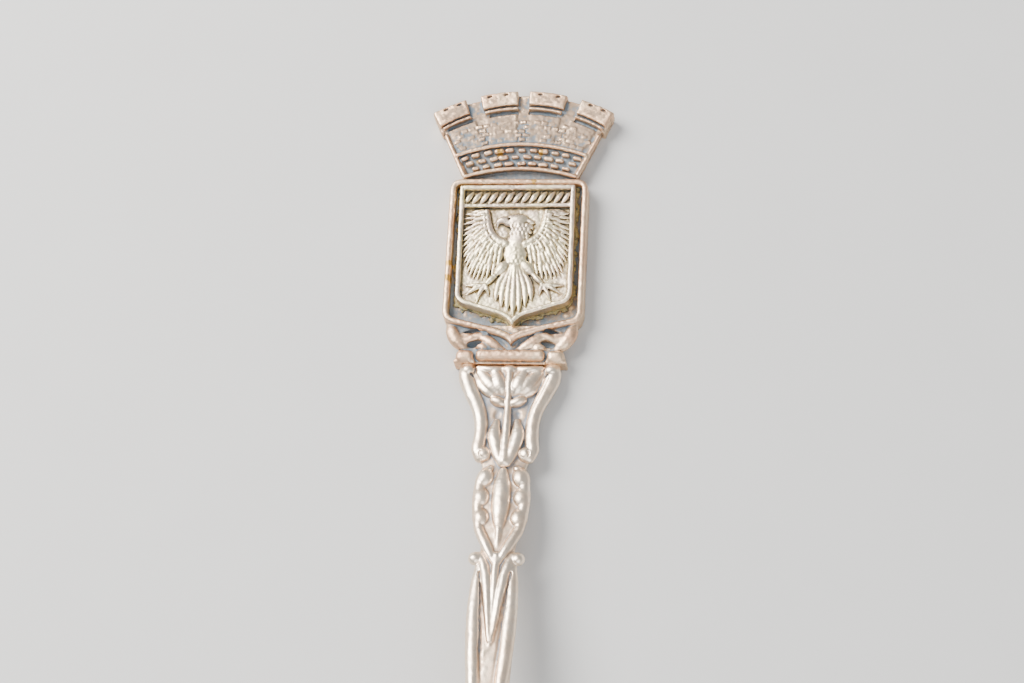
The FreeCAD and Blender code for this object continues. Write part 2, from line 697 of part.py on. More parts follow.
def main():
    os.makedirs("parts", exist_ok=True)
    core = handle_core()
    nodes = {
        "bowl": make_bowl(core),
        "bowl_solder": make_bowl_solder(core),
        "handle": make_handle(core),
        "finial_solder": make_finial_solder(),
        "finial": make_finial(),
        "plaque_adhesive": make_adhesive(),
        "plaque": make_plaque(),
    }
    for name, shape in nodes.items():
        shape.exportStep(f"parts/{name}.step")
        box = shape.BoundBox
        print(
            f"{name}: {len(shape.Solids)} solid, valid {shape.isValid()}, volume {shape.Volume:.1f} mm3, "
            f"y {box.YMin:.2f}..{box.YMax:.2f}, z {box.ZMin:.2f}..{box.ZMax:.2f}"
        )


main()
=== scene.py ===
"""Souvenir spoon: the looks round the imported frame.

The metal is modelled as clay: a block of small cubes that holds a signed distance, negative inside the metal.
Slabs, strokes and balls are added to it or cut from it with soft joins, as on a worn casting, and its surface
is then turned into a closed mesh. Lengths are in millimetres, in the frame's axes, until a mesh is made.
"""

import functools
import math

import bpy
import numpy as np
from mathutils import Matrix, Quaternion, Vector


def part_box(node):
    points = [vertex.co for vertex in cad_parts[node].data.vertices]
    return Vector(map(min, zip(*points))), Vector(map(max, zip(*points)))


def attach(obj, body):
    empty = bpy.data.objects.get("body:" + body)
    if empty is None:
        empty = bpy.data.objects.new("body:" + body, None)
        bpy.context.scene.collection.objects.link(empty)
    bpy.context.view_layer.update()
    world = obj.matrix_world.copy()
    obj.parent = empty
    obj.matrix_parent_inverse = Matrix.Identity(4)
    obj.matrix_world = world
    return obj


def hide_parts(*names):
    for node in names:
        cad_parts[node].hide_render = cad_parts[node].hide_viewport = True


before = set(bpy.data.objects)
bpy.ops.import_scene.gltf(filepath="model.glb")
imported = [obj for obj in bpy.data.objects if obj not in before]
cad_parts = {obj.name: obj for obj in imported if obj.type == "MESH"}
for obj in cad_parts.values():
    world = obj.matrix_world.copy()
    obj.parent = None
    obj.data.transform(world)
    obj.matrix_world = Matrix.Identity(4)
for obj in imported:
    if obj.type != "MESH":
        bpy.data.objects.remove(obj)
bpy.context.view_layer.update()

MM = 0.001
FAR = 9.0  # distance of an empty place
SIDES = (-1, 1)
RECESS_REACH = 0.55  # how far round a point the materials' two measures of its depth look
DETAIL_REACH = 0.17


def box_mm(node):
    """Lowest and highest corner of a CAD node, in millimetres."""
    low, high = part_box(node)
    return np.array(low) / MM, np.array(high) / MM


FINIAL_LOW, FINIAL_HIGH = box_mm("finial")
PLAQUE_LOW, PLAQUE_HIGH = box_mm("plaque")
GLUE_LOW, GLUE_HIGH = box_mm("plaque_adhesive")
_, HANDLE_HIGH = box_mm("handle")
SOCKET_LOW, SOCKET_HIGH = box_mm("finial_solder")
BOWL_LOW, BOWL_HIGH = box_mm("bowl")

TOP = FINIAL_HIGH[1]  # top of the crown
LEDGE = FINIAL_LOW[1]  # where the finial ends and the handle starts
FRAME_TOP = TOP - 11.5
FRAME_TIP = FRAME_TOP - 20.8
FRAME_HALF = 8.1
RIM = 0.72  # width of the plaque frame's rim
RIM_Z = 2.65
FLOOR_Z = GLUE_LOW[2]  # ground of the recess that holds the plaque
WALL_Z = 1.75
PLAQUE_TURN = math.radians(0.6)  # the plaque was glued slightly crooked


# ---------------------------------------------------------------- clay


def soft_min(a, b, soft):
    """The smaller of two distances, with a fillet of size soft where they meet."""
    share = np.clip(0.5 + 0.5 * (b - a) / soft, 0.0, 1.0)
    return b + (a - b) * share - soft * share * (1.0 - share)


def blur(volume, steps):
    """Mean of a volume over cubes of 2 * steps + 1 cells, taken twice."""
    width = 2 * steps + 1
    for axis in (0, 1, 2, 0, 1, 2):
        pads = [(steps + 1, steps) if k == axis else (0, 0) for k in range(3)]
        total = np.moveaxis(np.cumsum(np.pad(volume, pads), axis=axis), axis, 0)
        volume = np.moveaxis((total[width:] - total[:-width]) / width, 0, axis)
    return volume


def sample(volume, places):
    """Values of a volume at fractional cell places, mixed from the eight corners round each."""
    base = np.clip(np.floor(places).astype(int), 0, np.array(volume.shape) - 2)
    share = np.clip(places - base, 0.0, 1.0)
    total = np.zeros(len(places))
    for corner in np.ndindex(2, 2, 2):
        weight = np.prod(np.where(corner, share, 1.0 - share), axis=1)
        total += weight * volume[tuple((base + corner).T)]
    return total


def settle(field):
    """Fills cells where the surface would only touch itself along an edge or at a point."""
    fill = np.float32(-1e-3)
    for _ in range(30):
        changed = 0
        for flat_axis in range(3):
            grid = np.moveaxis(field, flat_axis, 0)
            a, b = grid[:, :-1, :-1], grid[:, 1:, :-1]
            c, d = grid[:, :-1, 1:], grid[:, 1:, 1:]
            clash = (a < 0) & (d < 0) & (b >= 0) & (c >= 0)
            b[clash] = fill
            other = (a >= 0) & (d >= 0) & (b < 0) & (c < 0)
            a[other] = fill
            changed += int(clash.sum() + other.sum())
        if not changed:
            break
    return field


def surface_net(field):
    """Vertices, in cells, and outward quads of the surface where the field changes sign."""
    inside = field < 0
    size = np.array(field.shape) - 1
    corners = list(np.ndindex(2, 2, 2))
    windows = [tuple(slice(at, at + span) for at, span in zip(corner, size)) for corner in corners]
    count = sum(inside[window].astype(np.int8) for window in windows)
    cells = np.argwhere((count > 0) & (count < 8))
    index = np.full(size, -1, np.int32)
    index[tuple(cells.T)] = np.arange(len(cells))
    total = np.zeros((len(cells), 3))
    hits = np.zeros((len(cells), 1))
    for axis in range(3):
        step = np.eye(3, dtype=int)[axis]
        for corner in corners:
            if corner[axis]:
                continue
            start = cells + corner
            f0 = field[tuple(start.T)]
            f1 = field[tuple((start + step).T)]
            cross = (f0 < 0) != (f1 < 0)
            share = f0[cross] / (f0[cross] - f1[cross])
            total[cross] += np.array(corner) + share[:, None] * step
            hits[cross] += 1
    quads = []
    for axis in range(3):
        u, v = (axis + 1) % 3, (axis + 2) % 3
        grid = np.moveaxis(inside, (axis, u, v), (0, 1, 2))
        cell = np.moveaxis(index, (axis, u, v), (0, 1, 2))
        first, second = grid[:-1, 1:-1, 1:-1], grid[1:, 1:-1, 1:-1]
        for solid_first in (True, False):
            at = np.argwhere((first == solid_first) & (second != solid_first))
            i, j, k = at.T
            ring = [cell[i, j, k], cell[i, j + 1, k], cell[i, j + 1, k + 1], cell[i, j, k + 1]]
            quads.append(np.stack(ring if solid_first else ring[::-1], axis=1))
    return cells + total / hits, np.concatenate(quads)


def largest_shell(points, faces):
    """The biggest connected surface alone, without bubbles inside the metal or crumbs outside it."""
    label = np.arange(len(points))
    a, b = np.vstack([faces[:, [0, 1]], faces[:, [1, 2]], faces[:, [2, 3]]]).T
    while True:
        low = np.minimum(label[a], label[b])
        merged = label.copy()
        np.minimum.at(merged, label[a], low)
        np.minimum.at(merged, label[b], low)
        merged = merged[merged]
        if (merged == label).all():
            break
        label = merged
    kept = label == np.bincount(label).argmax()
    renumbered = np.cumsum(kept) - 1
    return points[kept], renumbered[faces[kept[faces[:, 0]]]]


def new_object(name, data):
    """Object in the scene that holds the data."""
    thing = bpy.data.objects.new(name, data)
    bpy.context.scene.collection.objects.link(thing)
    return thing


def mesh_piece(name, points, faces):
    """Object with a smooth-shaded mesh of faces that all have the same number of corners."""
    mesh = bpy.data.meshes.new(name)
    mesh.vertices.add(len(points))
    mesh.vertices.foreach_set("co", np.asarray(points, np.float32).ravel())
    mesh.loops.add(faces.size)
    mesh.loops.foreach_set("vertex_index", np.asarray(faces, np.int32).ravel())
    mesh.polygons.add(len(faces))
    mesh.polygons.foreach_set("loop_start", np.arange(0, faces.size, faces.shape[1], dtype=np.int32))
    mesh.polygons.foreach_set("use_smooth", np.ones(len(faces), bool))
    mesh.update(calc_edges=True)
    return new_object(name, mesh)


def thinned(piece, budget):
    """The piece with its flattest triangles merged until it holds at most budget triangles."""
    triangles = 2 * len(piece.data.polygons)
    if triangles > budget:
        modifier = piece.modifiers.new("thin", "DECIMATE")
        modifier.ratio = budget / triangles
        graph = bpy.context.evaluated_depsgraph_get()
        mesh = bpy.data.meshes.new_from_object(piece.evaluated_get(graph))
        piece.modifiers.clear()
        piece.data = mesh
    return piece


def points_of(piece):
    """The piece's vertices as an array."""
    points = np.empty(len(piece.data.vertices) * 3, np.float32)
    piece.data.vertices.foreach_get("co", points)
    return points.reshape(-1, 3).astype(float)


def set_attribute(piece, name, values):
    """Stores one number per vertex, for the materials."""
    attribute = piece.data.attributes.new(name, "FLOAT", "POINT")
    attribute.data.foreach_set("value", values.astype(np.float32))


class Clay:
    """A block of small cubes that holds a signed distance, negative inside the metal."""

    def __init__(self, low, high, cell):
        margin = 5 * cell
        self.cell = cell
        self.low = np.array(low, float) - margin
        counts = np.ceil((np.array(high, float) + margin - self.low) / cell).astype(int) + 1
        self.ticks = [self.low[k] + cell * np.arange(counts[k]) for k in range(3)]
        self.field = np.full(counts, FAR, np.float32)

    def _near(self, shape, soft):
        """The part of the block round a shape, and the shape's distance there."""
        distance, low, high = shape
        reach = soft + 2 * self.cell
        ends = zip(self.ticks, low, high)
        spans = tuple(slice(*np.searchsorted(tick, (a - reach, b + reach))) for tick, a, b in ends)
        return spans, distance(*np.ix_(*(tick[span] for tick, span in zip(self.ticks, spans))))

    def add(self, shape, soft=0.12):
        """Joins a shape to the clay, with a fillet of size soft."""
        spans, near = self._near(shape, soft)
        self.field[spans] = soft_min(self.field[spans], near, soft)

    def cut(self, shape, soft=0.08):
        """Takes a shape away from the clay, with its edge rounded by soft."""
        spans, near = self._near(shape, soft)
        self.field[spans] = -soft_min(-self.field[spans], near, soft)

    def keep_inside(self, plan):
        """Takes away all the clay outside a distance of x, y and z, with a sharp edge."""
        self.field = np.maximum(self.field, plan(*np.ix_(*self.ticks)).astype(np.float32))

    def keep_between(self, axis, low, high):
        """Takes away all the clay outside two planes across an axis."""
        self.keep_inside(lambda *places: np.maximum(low - places[axis], places[axis] - high))

    def roughen(self, amount, grain, seed):
        """Moves the surface in and out by amount, in bumps about as wide as grain."""
        noise = np.random.default_rng(seed).standard_normal(self.field.shape, dtype=np.float32)
        noise = blur(noise, max(1, round(grain / self.cell / 2)))
        self.field += np.float32(amount) * noise / noise.std()

    def piece(self, name, budget=190_000, bend=None):
        """Closed mesh of the clay's surface, with the vertex attributes hollow, edge and height.

        hollow is the share of metal within about RECESS_REACH, edge the same within DETAIL_REACH: 0.5 on a
        flat face, more in a recess and less on a ridge. height is in millimetres above the clay's zero.
        budget is the most triangles it may have, and bend moves the finished points, an array.
        """
        points, quads = largest_shell(*surface_net(settle(self.field)))
        piece = thinned(mesh_piece(name, self.low + points * self.cell, quads), budget)
        points = points_of(piece)
        places = (points - self.low) / self.cell
        solid = np.clip(0.5 - self.field / self.cell, 0.0, 1.0)
        set_attribute(piece, "hollow", sample(blur(solid, round(RECESS_REACH / self.cell)), places))
        set_attribute(piece, "edge", sample(blur(solid, round(DETAIL_REACH / self.cell)), places))
        set_attribute(piece, "height", points[:, 2])
        if bend:
            points = bend(points)
        piece.data.vertices.foreach_set("co", (points * MM).astype(np.float32).ravel())
        piece.data.update()
        return piece


# ---------------------------------------------------------------- shapes: (distance, lowest, highest corner)


def ellipsoid(u, v, w, rx, ry, rz):
    """Distance to an ellipsoid of half axes rx, ry and rz at a place u, v, w from its middle."""
    near = np.sqrt((u / rx) ** 2 + (v / ry) ** 2 + (w / rz) ** 2)
    slope = np.sqrt((u / rx**2) ** 2 + (v / ry**2) ** 2 + (w / rz**2) ** 2) + 1e-6
    return near * (near - 1.0) / slope


def ball(centre, radii, turn_deg=0.0):
    """Ellipsoid, turned turn_deg about Z."""
    cx, cy, cz = centre
    c, s = math.cos(math.radians(turn_deg)), math.sin(math.radians(turn_deg))

    def distance(x, y, z):
        u = (x - cx) * c + (y - cy) * s
        v = (y - cy) * c - (x - cx) * s
        return ellipsoid(u, v, z - cz, *radii)

    reach = np.array([max(radii[:2]), max(radii[:2]), radii[2]])
    return distance, np.array(centre) - reach, np.array(centre) + reach


def smooth_path(knots, per_span=5):
    """Points along a smooth curve through the knots, which may have any number of columns."""
    knots = np.array(knots, float)
    padded = np.vstack([2 * knots[0] - knots[1], knots, 2 * knots[-1] - knots[-2]])
    points = []
    for p0, p1, p2, p3 in zip(padded, padded[1:], padded[2:], padded[3:]):
        for t in np.arange(per_span) / per_span:
            slope_in, slope_out = (p2 - p0) / 2, (p3 - p1) / 2
            points.append(
                (2 * t**3 - 3 * t**2 + 1) * p1
                + (t**3 - 2 * t**2 + t) * slope_in
                + (3 * t**2 - 2 * t**3) * p2
                + (t**3 - t**2) * slope_out
            )
    return np.vstack([points, knots[-1]])


def stroke(knots, flat=1.0):
    """Round bar through knots of (x, y, z, radius); flat below 1 makes it lower than it is wide."""
    path = smooth_path(knots)
    path[:, 3] = np.maximum(path[:, 3], 0.02)

    def distance(x, y, z):
        best = FAR
        for a, b in zip(path, path[1:]):
            dx, dy, dz = b[0] - a[0], b[1] - a[1], (b[2] - a[2]) / flat
            px, py, pz = x - a[0], y - a[1], (z - a[2]) / flat
            share = np.clip((px * dx + py * dy + pz * dz) / (dx * dx + dy * dy + dz * dz + 1e-9), 0.0, 1.0)
            near = np.sqrt((px - share * dx) ** 2 + (py - share * dy) ** 2 + (pz - share * dz) ** 2)
            best = np.minimum(best, near - a[3] - share * (b[3] - a[3]))
        return best

    reach = path[:, 3].max()
    return distance, path[:, :3].min(0) - reach, path[:, :3].max(0) + reach


def shared(*distances):
    """Distance to what lies inside all the shapes."""
    return functools.reduce(np.maximum, distances)


def rounded(u, v, edge):
    """Distance to two faces that meet in an edge, rounded to a radius."""
    u, v = u + edge, v + edge
    return np.minimum(np.maximum(u, v), 0.0) + np.hypot(np.maximum(u, 0.0), np.maximum(v, 0.0)) - edge


def strokes(clay, knots, flat=1.0, soft=0.15, cut=False):
    """Adds or cuts a stroke on both sides of the axis."""
    for s in SIDES:
        shape = stroke([(s * x, y, z, r) for x, y, z, r in knots], flat)
        (clay.cut if cut else clay.add)(shape, soft)


def balls(clay, centre, radii, turn_deg=0.0, soft=0.12, cut=False):
    """Adds or cuts a ball on both sides of the axis."""
    for s in SIDES:
        shape = ball((s * centre[0], *centre[1:]), radii, s * turn_deg)
        (clay.cut if cut else clay.add)(shape, soft)


def slab(plan, low, high, edge=0.12):
    """Plate between two heights with rounded edges; plan gives the distance to its outline."""
    middle, half = (low[2] + high[2]) / 2, (high[2] - low[2]) / 2

    def distance(x, y, z):
        return rounded(plan(x, y), np.abs(z - middle) - half, edge)

    return distance, np.array(low, float), np.array(high, float)


def tile(centre, half_x, half_y, z0, z1, turn_deg=0.0, edge=0.1):
    """Rounded block on a rectangle turned turn_deg about Z."""
    cx, cy = centre
    c, s = math.cos(math.radians(turn_deg)), math.sin(math.radians(turn_deg))

    def plan(x, y):
        u = np.abs((x - cx) * c + (y - cy) * s) - half_x
        v = np.abs((y - cy) * c - (x - cx) * s) - half_y
        return rounded(u, v, edge)

    reach = math.hypot(half_x, half_y)
    return slab(plan, (cx - reach, cy - reach, z0), (cx + reach, cy + reach, z1), edge)


def polygon(points):
    """Plan distance to a closed outline."""
    ends = np.roll(points, -1, axis=0)

    def plan(x, y):
        nearest = FAR**2
        flips = np.zeros(np.broadcast(x, y).shape, int)
        for (ax, ay), (bx, by) in zip(points, ends):
            dx, dy = bx - ax, by - ay
            share = np.clip(((x - ax) * dx + (y - ay) * dy) / (dx * dx + dy * dy), 0.0, 1.0)
            nearest = np.minimum(nearest, (x - ax - share * dx) ** 2 + (y - ay - share * dy) ** 2)
            crosses = ((ay > y) != (by > y)) & (x < dx * (y - ay) / (dy + 1e-12) + ax)
            flips = flips + crosses
        return np.sqrt(nearest) * np.where(flips % 2, -1.0, 1.0)

    return plan


def arch(apex, radius):
    """Plan distance to a circle that crowns at apex on the axis, negative under the arch."""
    return lambda x, y: np.hypot(x, y - (apex - radius)) - radius


def arch_y(apex, radius, x):
    """Height of that circle at x."""
    return apex - radius + math.sqrt(radius * radius - x * x)


def right_of(a, b):
    """Plan distance to the right of the line from a up to b, mirrored across the axis."""
    length = math.hypot(b[0] - a[0], b[1] - a[1])
    nx, ny = (b[1] - a[1]) / length, -(b[0] - a[0]) / length
    return lambda x, y: (np.abs(x) - a[0]) * nx + (y - a[1]) * ny


def arch_rail(apex, radius, x0, x1, z, thick):
    """Round bar along an arch, from x0 to x1."""

    def distance(x, y, up):
        near = np.hypot(arch(apex, radius)(x, y), up - z) - thick
        return shared(near, x0 - x, x - x1)

    foot = min(arch_y(apex, radius, x0), arch_y(apex, radius, x1))
    return distance, np.array([x0, foot - thick, z - thick]), np.array([x1, apex + thick, z + thick])


def bar_distance(x, z, half, thick):
    """Distance to a rounded bar section of the given half width and half thickness."""
    u, w = np.abs(x) / half, np.abs(z) / thick
    size = np.maximum((u**3 + w**3) ** (1 / 3), 1e-3)
    slope = np.hypot((u / size) ** 2 / half, (w / size) ** 2 / thick)
    return (size - 1.0) / slope


# ---------------------------------------------------------------- finial

CROWN_R = 21.4
BAND_TOP = TOP - 1.75  # foot of the merlons, on the axis
BAND_R = 17.7
COURSE_R = 20.5
UPPER_RIDGE = TOP - 6.6
LOWER_RIDGE = TOP - 9.75
CROWN_SIDE = ((6.5, TOP - 11.1), (9.25, TOP - 5.1))
MERLON_Z = 2.45
TAPER = 0.046  # share of its width that a merlon's side closes in, per millimetre towards the wall


def lens(a, b, low, high):
    """Plan distance to what lies under arch a and over arch b, between radial sides at |x| low and high."""
    top_edge = arch(TOP, CROWN_R)

    def plan(x, y):
        scale = 1 + TAPER * top_edge(x, y)
        return shared(a(x, y), -b(x, y), low * scale - np.abs(x), np.abs(x) - high * scale)

    return plan


def crown_plates(clay):
    """The curtain wall, the backing of the merlons and the foot of the crown."""
    side = right_of(*CROWN_SIDE)
    band_side = right_of((9.75, TOP - 5.0), (10.72, TOP - 2.9))
    under_band, over_band = arch(BAND_TOP - 0.3, BAND_R), arch(TOP - 0.35, CROWN_R)

    def wall(x, y):
        return np.maximum(under_band(x, y), side(x, y))

    def band(x, y):
        return shared(over_band(x, y), -under_band(x, y) - 0.3, band_side(x, y))

    low, high = (-11, FRAME_TOP - 0.5, 0), (11, TOP, WALL_Z)
    clay.add(slab(wall, low, high))
    clay.add(slab(band, low, high))
    foot = arch(LOWER_RIDGE - 0.3, COURSE_R)
    clay.cut(slab(foot, (-9, FRAME_TOP - 1, FLOOR_Z - 0.1), (9, TOP, WALL_Z + 1), 0.05))


def merlons(clay, rng):
    """Four battlements with nicked tops, each with a dark groove and a thin cornice at its foot."""
    for low, high in ((0.7, 5.2), (6.9, 10.75)):
        block = lens(arch(TOP, CROWN_R), arch(BAND_TOP, BAND_R), low, high)
        clay.add(slab(block, (-11, TOP - 6, 0.2), (11, TOP, MERLON_Z), 0.2))
        cornice = lens(arch(BAND_TOP - 0.28, BAND_R), arch(BAND_TOP - 0.62, BAND_R), low, high - 0.15)
        clay.add(slab(cornice, (-11, TOP - 6.5, 1), (11, TOP, 2.35), 0.14))
        under = lens(arch(BAND_TOP - 0.62, BAND_R), arch(BAND_TOP - 1.0, BAND_R), low, high - 0.7)
        clay.cut(slab(under, (-11, TOP - 6.5, WALL_Z - 0.25), (11, TOP, 2.3), 0.1))
    for side in SIDES:
        for x in (2.2, 3.9, 7.9, 9.4):
            x += rng.uniform(-0.25, 0.25)
            nick = (side * x, arch_y(TOP - 0.38, CROWN_R, x), MERLON_Z)
            clay.cut(ball(nick, (0.3, 0.15, 0.4), -math.degrees(side * x / CROWN_R)), 0.06)


def towers(clay, rng):
    """Slightly raised faces under the merlons, with worn courses of small stones."""
    for low, high in ((0.95, 5.1), (6.5, 9.9)):
        face = lens(arch(BAND_TOP - 1.0, BAND_R), arch(UPPER_RIDGE, COURSE_R), low, high)
        side = right_of(*CROWN_SIDE)

        def plan(x, y, face=face):
            return np.maximum(face(x, y), side(x, y) + 0.3)

        clay.add(slab(plan, (-10, TOP - 9, 1), (10, TOP - 2, WALL_Z + 0.08), 0.12), 0.2)
    stone, course = 0.86, 0.56
    for row in range(5):
        middle = UPPER_RIDGE + 0.5 + row * course
        half = 7.3 + 0.28 * row
        for k in range(-11, 12):
            x = (k + 0.5 * (row % 2)) * stone + rng.uniform(-0.08, 0.08)
            if abs(x) > half or rng.random() < 0.16:
                continue
            y = arch_y(middle, COURSE_R, x)
            top = WALL_Z + 0.13 + rng.uniform(-0.03, 0.05)
            turn = -math.degrees(x / COURSE_R) + rng.uniform(-4, 4)
            clay.add(tile((x, y), 0.37, 0.22, 1.2, top, turn, 0.06), 0.04)
    strokes(clay, [(9.0, TOP - 5.7, WALL_Z, 0.25), (6.6, TOP - 10.9, WALL_Z, 0.28)], soft=0.12)


def brick_courses(clay, rng):
    """Two arched ridges with three courses of rounded bricks between them."""
    for apex, half in ((UPPER_RIDGE, 7.75), (LOWER_RIDGE, 6.65)):
        clay.add(arch_rail(apex - 0.2, COURSE_R, -half, half, WALL_Z + 0.22, 0.24), 0.1)
    over, under, side = arch(UPPER_RIDGE - 0.4, COURSE_R), arch(LOWER_RIDGE, COURSE_R), right_of(*CROWN_SIDE)

    def plan(x, y):
        return shared(over(x, y), -under(x, y), side(x, y) + 0.45)

    clay.cut(slab(plan, (-8, TOP - 12, WALL_Z - 0.3), (8, TOP - 6, WALL_Z + 0.2), 0.08))
    clear = UPPER_RIDGE - LOWER_RIDGE - 0.55
    pitch = 1.33
    for course in range(3):
        middle = LOWER_RIDGE + 0.08 + clear * (course + 0.5) / 3
        half = 6.15 + 0.35 * course
        for k in range(-6, 7):
            x = (k + 0.5 * (course % 2)) * pitch + rng.uniform(-0.1, 0.1)
            if abs(x) > half:
                continue
            y = arch_y(middle, COURSE_R, x)
            size = rng.uniform(0.8, 1.08)
            turn = -math.degrees(x / COURSE_R) + 5 + rng.uniform(-5, 5)
            top = WALL_Z + 0.3 + rng.uniform(-0.06, 0.08)
            clay.add(tile((x, y), 0.55 * size, 0.27 * size, 1.2, top, turn, 0.22), 0.1)


def shield(half, top, tip, corner):
    """Closed outline of a shield: flat top, straight sides, and a foot that sweeps down to a point."""
    curves = [
        ((half - corner, top), (half, top), (half, top - corner)),
        ((half, tip + 4.3), (half, tip + 2.75), (half - 1.6, tip + 2.5)),
        ((half * 0.3, tip + 1.5), (half * 0.1, tip + 1.2), (0.0, tip)),
    ]
    share = np.linspace(0, 1, 9)[:, None]
    right = np.vstack(
        [(1 - share) ** 2 * a + 2 * share * (1 - share) * b + share**2 * c for a, b, c in np.array(curves)]
    )
    left = right[-2::-1] * (-1, 1)
    return np.vstack([right, left])


def plaque_frame(clay):
    """Tray with a rounded rim that holds the plaque."""
    outline = polygon(shield(FRAME_HALF, FRAME_TOP, FRAME_TIP, 1.5))

    def rim(x, y):
        return np.abs(outline(x, y) + RIM / 2) - RIM / 2

    low, high = (-FRAME_HALF, FRAME_TIP, 0), (FRAME_HALF, FRAME_TOP, RIM_Z)
    inner = polygon(shield(FRAME_HALF - RIM, FRAME_TOP - RIM, FRAME_TIP + 1.3, 0.8))
    clay.cut(slab(inner, low, (FRAME_HALF, FRAME_TOP, RIM_Z + 1), 0.02), 0.02)
    clay.add(slab(outline, low, (FRAME_HALF, FRAME_TOP, FLOOR_Z), 0.12), 0.02)
    clay.add(slab(rim, low, high, 0.33), 0.06)
    mitre = [(2.5, 1.75, 2.25, 0.36), (1.2, 1.4, 2.25, 0.4), (0.0, 0.85, 2.2, 0.44)]
    strokes(clay, [(x, FRAME_TIP + y, z, r) for x, y, z, r in mitre], soft=0.1)


def bracket(clay):
    """Pierced-looking scrolls between the frame's point and the ledge."""
    foot = LEDGE + 1.6
    sides = right_of((5.3, foot), (7.15, FRAME_TIP + 2.3))

    def plan(x, y):
        return shared(sides(x, y), y - FRAME_TIP - 2.6, foot - 0.4 - y)

    clay.add(slab(plan, (-8, foot - 0.5, 0), (8, FRAME_TIP + 2.6, 1.9)))
    leaves = (
        [(7.0, 31.3, 1.6, 0.6), (6.75, 30.2, 1.75, 0.8), (6.1, 29.2, 1.75, 0.78), (5.3, 28.5, 1.6, 0.55)],
        [(6.0, 29.6, 1.85, 0.5), (5.0, 29.4, 1.95, 0.48), (4.0, 29.85, 2.0, 0.45), (3.0, 30.0, 1.95, 0.4)],
        [(4.0, 30.0, 1.9, 0.35), (2.9, 29.45, 2.0, 0.6), (1.9, 28.75, 2.05, 0.62), (0.8, 28.1, 1.95, 0.4)],
    )
    for leaf in leaves:
        strokes(clay, leaf, 0.85, 0.2)
    balls(clay, (3.2, 28.5, 1.9), (0.95, 0.55, 0.6), 20, 0.25)
    balls(clay, (5.3, 30.0, 1.8), (0.9, 0.5, 0.4), 0, 0.25)
    balls(clay, (4.2, 28.9, 2.0), (0.85, 0.36, 0.75), -10, cut=True)
    balls(clay, (4.6, 30.5, 1.95), (0.95, 0.22, 0.65), -12, cut=True)
    wedge = [(0.4, 28.35, 2.0, 0.2), (1.3, 29.15, 1.95, 0.28), (2.3, 29.95, 2.0, 0.1)]
    strokes(clay, wedge, soft=0.12, cut=True)


def ledge(clay):
    """Bar with a domed, flared block at each end, capping the handle."""
    clay.add(tile((0, LEDGE + 0.8), 4.9, 0.75, 0, 1.9, edge=0.1))
    clay.add(tile((0, LEDGE + 0.97), 3.95, 0.66, 0.2, 2.75, edge=0.55), 0.1)
    for s in SIDES:
        clay.add(tile((s * 5.2, LEDGE + 0.82), 1.0, 0.74, 0, 2.75, edge=0.6), 0.1)
        clay.add(tile((s * 5.25, LEDGE + 0.22), 1.2, 0.2, 0, 2.3, edge=0.15), 0.3)


def socket(clay):
    """Hole for the handle's tenon and its solder."""
    middle = (SOCKET_LOW + SOCKET_HIGH) / 2
    half = (SOCKET_HIGH - SOCKET_LOW) / 2
    centre = (middle[0], middle[1] - 1)
    clay.cut(tile(centre, half[0], half[1] + 1, SOCKET_LOW[2], SOCKET_HIGH[2], edge=0.02), 0.01)


def make_finial():
    rng = np.random.default_rng(11)
    clay = Clay(FINIAL_LOW, FINIAL_HIGH, cell=0.09)
    crown_plates(clay)
    brick_courses(clay, rng)
    towers(clay, rng)
    merlons(clay, rng)
    plaque_frame(clay)
    bracket(clay)
    ledge(clay)
    clay.roughen(0.012, grain=0.25, seed=1)
    clay.roughen(0.005, grain=0.9, seed=2)
    clay.keep_between(2, 0.0, FINIAL_HIGH[2])
    clay.keep_between(1, LEDGE, TOP)
    socket(clay)
    return clay.piece("finial_cast")


# ---------------------------------------------------------------- plaque

PLAQUE_HALF = 6.75
PLAQUE_TOP = FRAME_TOP - 0.95
PLAQUE_TIP = FRAME_TIP + 2.2
FIELD_Z = 2.25
TITLE = PLAQUE_TOP - 2.75  # bar under the title band
STRANDS = 13


def feather(root, tip, width, z, curl=0.0, flat=0.75):
    """Tapered feather from root to tip, bowed sideways by curl."""
    (x0, y0), (x1, y1) = root, tip
    bow_x, bow_y = -(y1 - y0) * curl, (x1 - x0) * curl
    middle = ((x0 + x1) / 2 + bow_x, (y0 + y1) / 2 + bow_y)
    late = ((x0 + 4 * x1) / 5 + bow_x * 0.6, (y0 + 4 * y1) / 5 + bow_y * 0.6)
    return stroke(
        [
            (x0, y0, z, width * 0.32),
            (*middle, z, width * 0.5),
            (*late, z, width * 0.46),
            (x1, y1, z, width * 0.16),
        ],
        flat,
    )


def along(knots, share):
    """Point at a share of the way along a smooth curve."""
    path = smooth_path(knots, 12)
    return path[round(share * (len(path) - 1))]


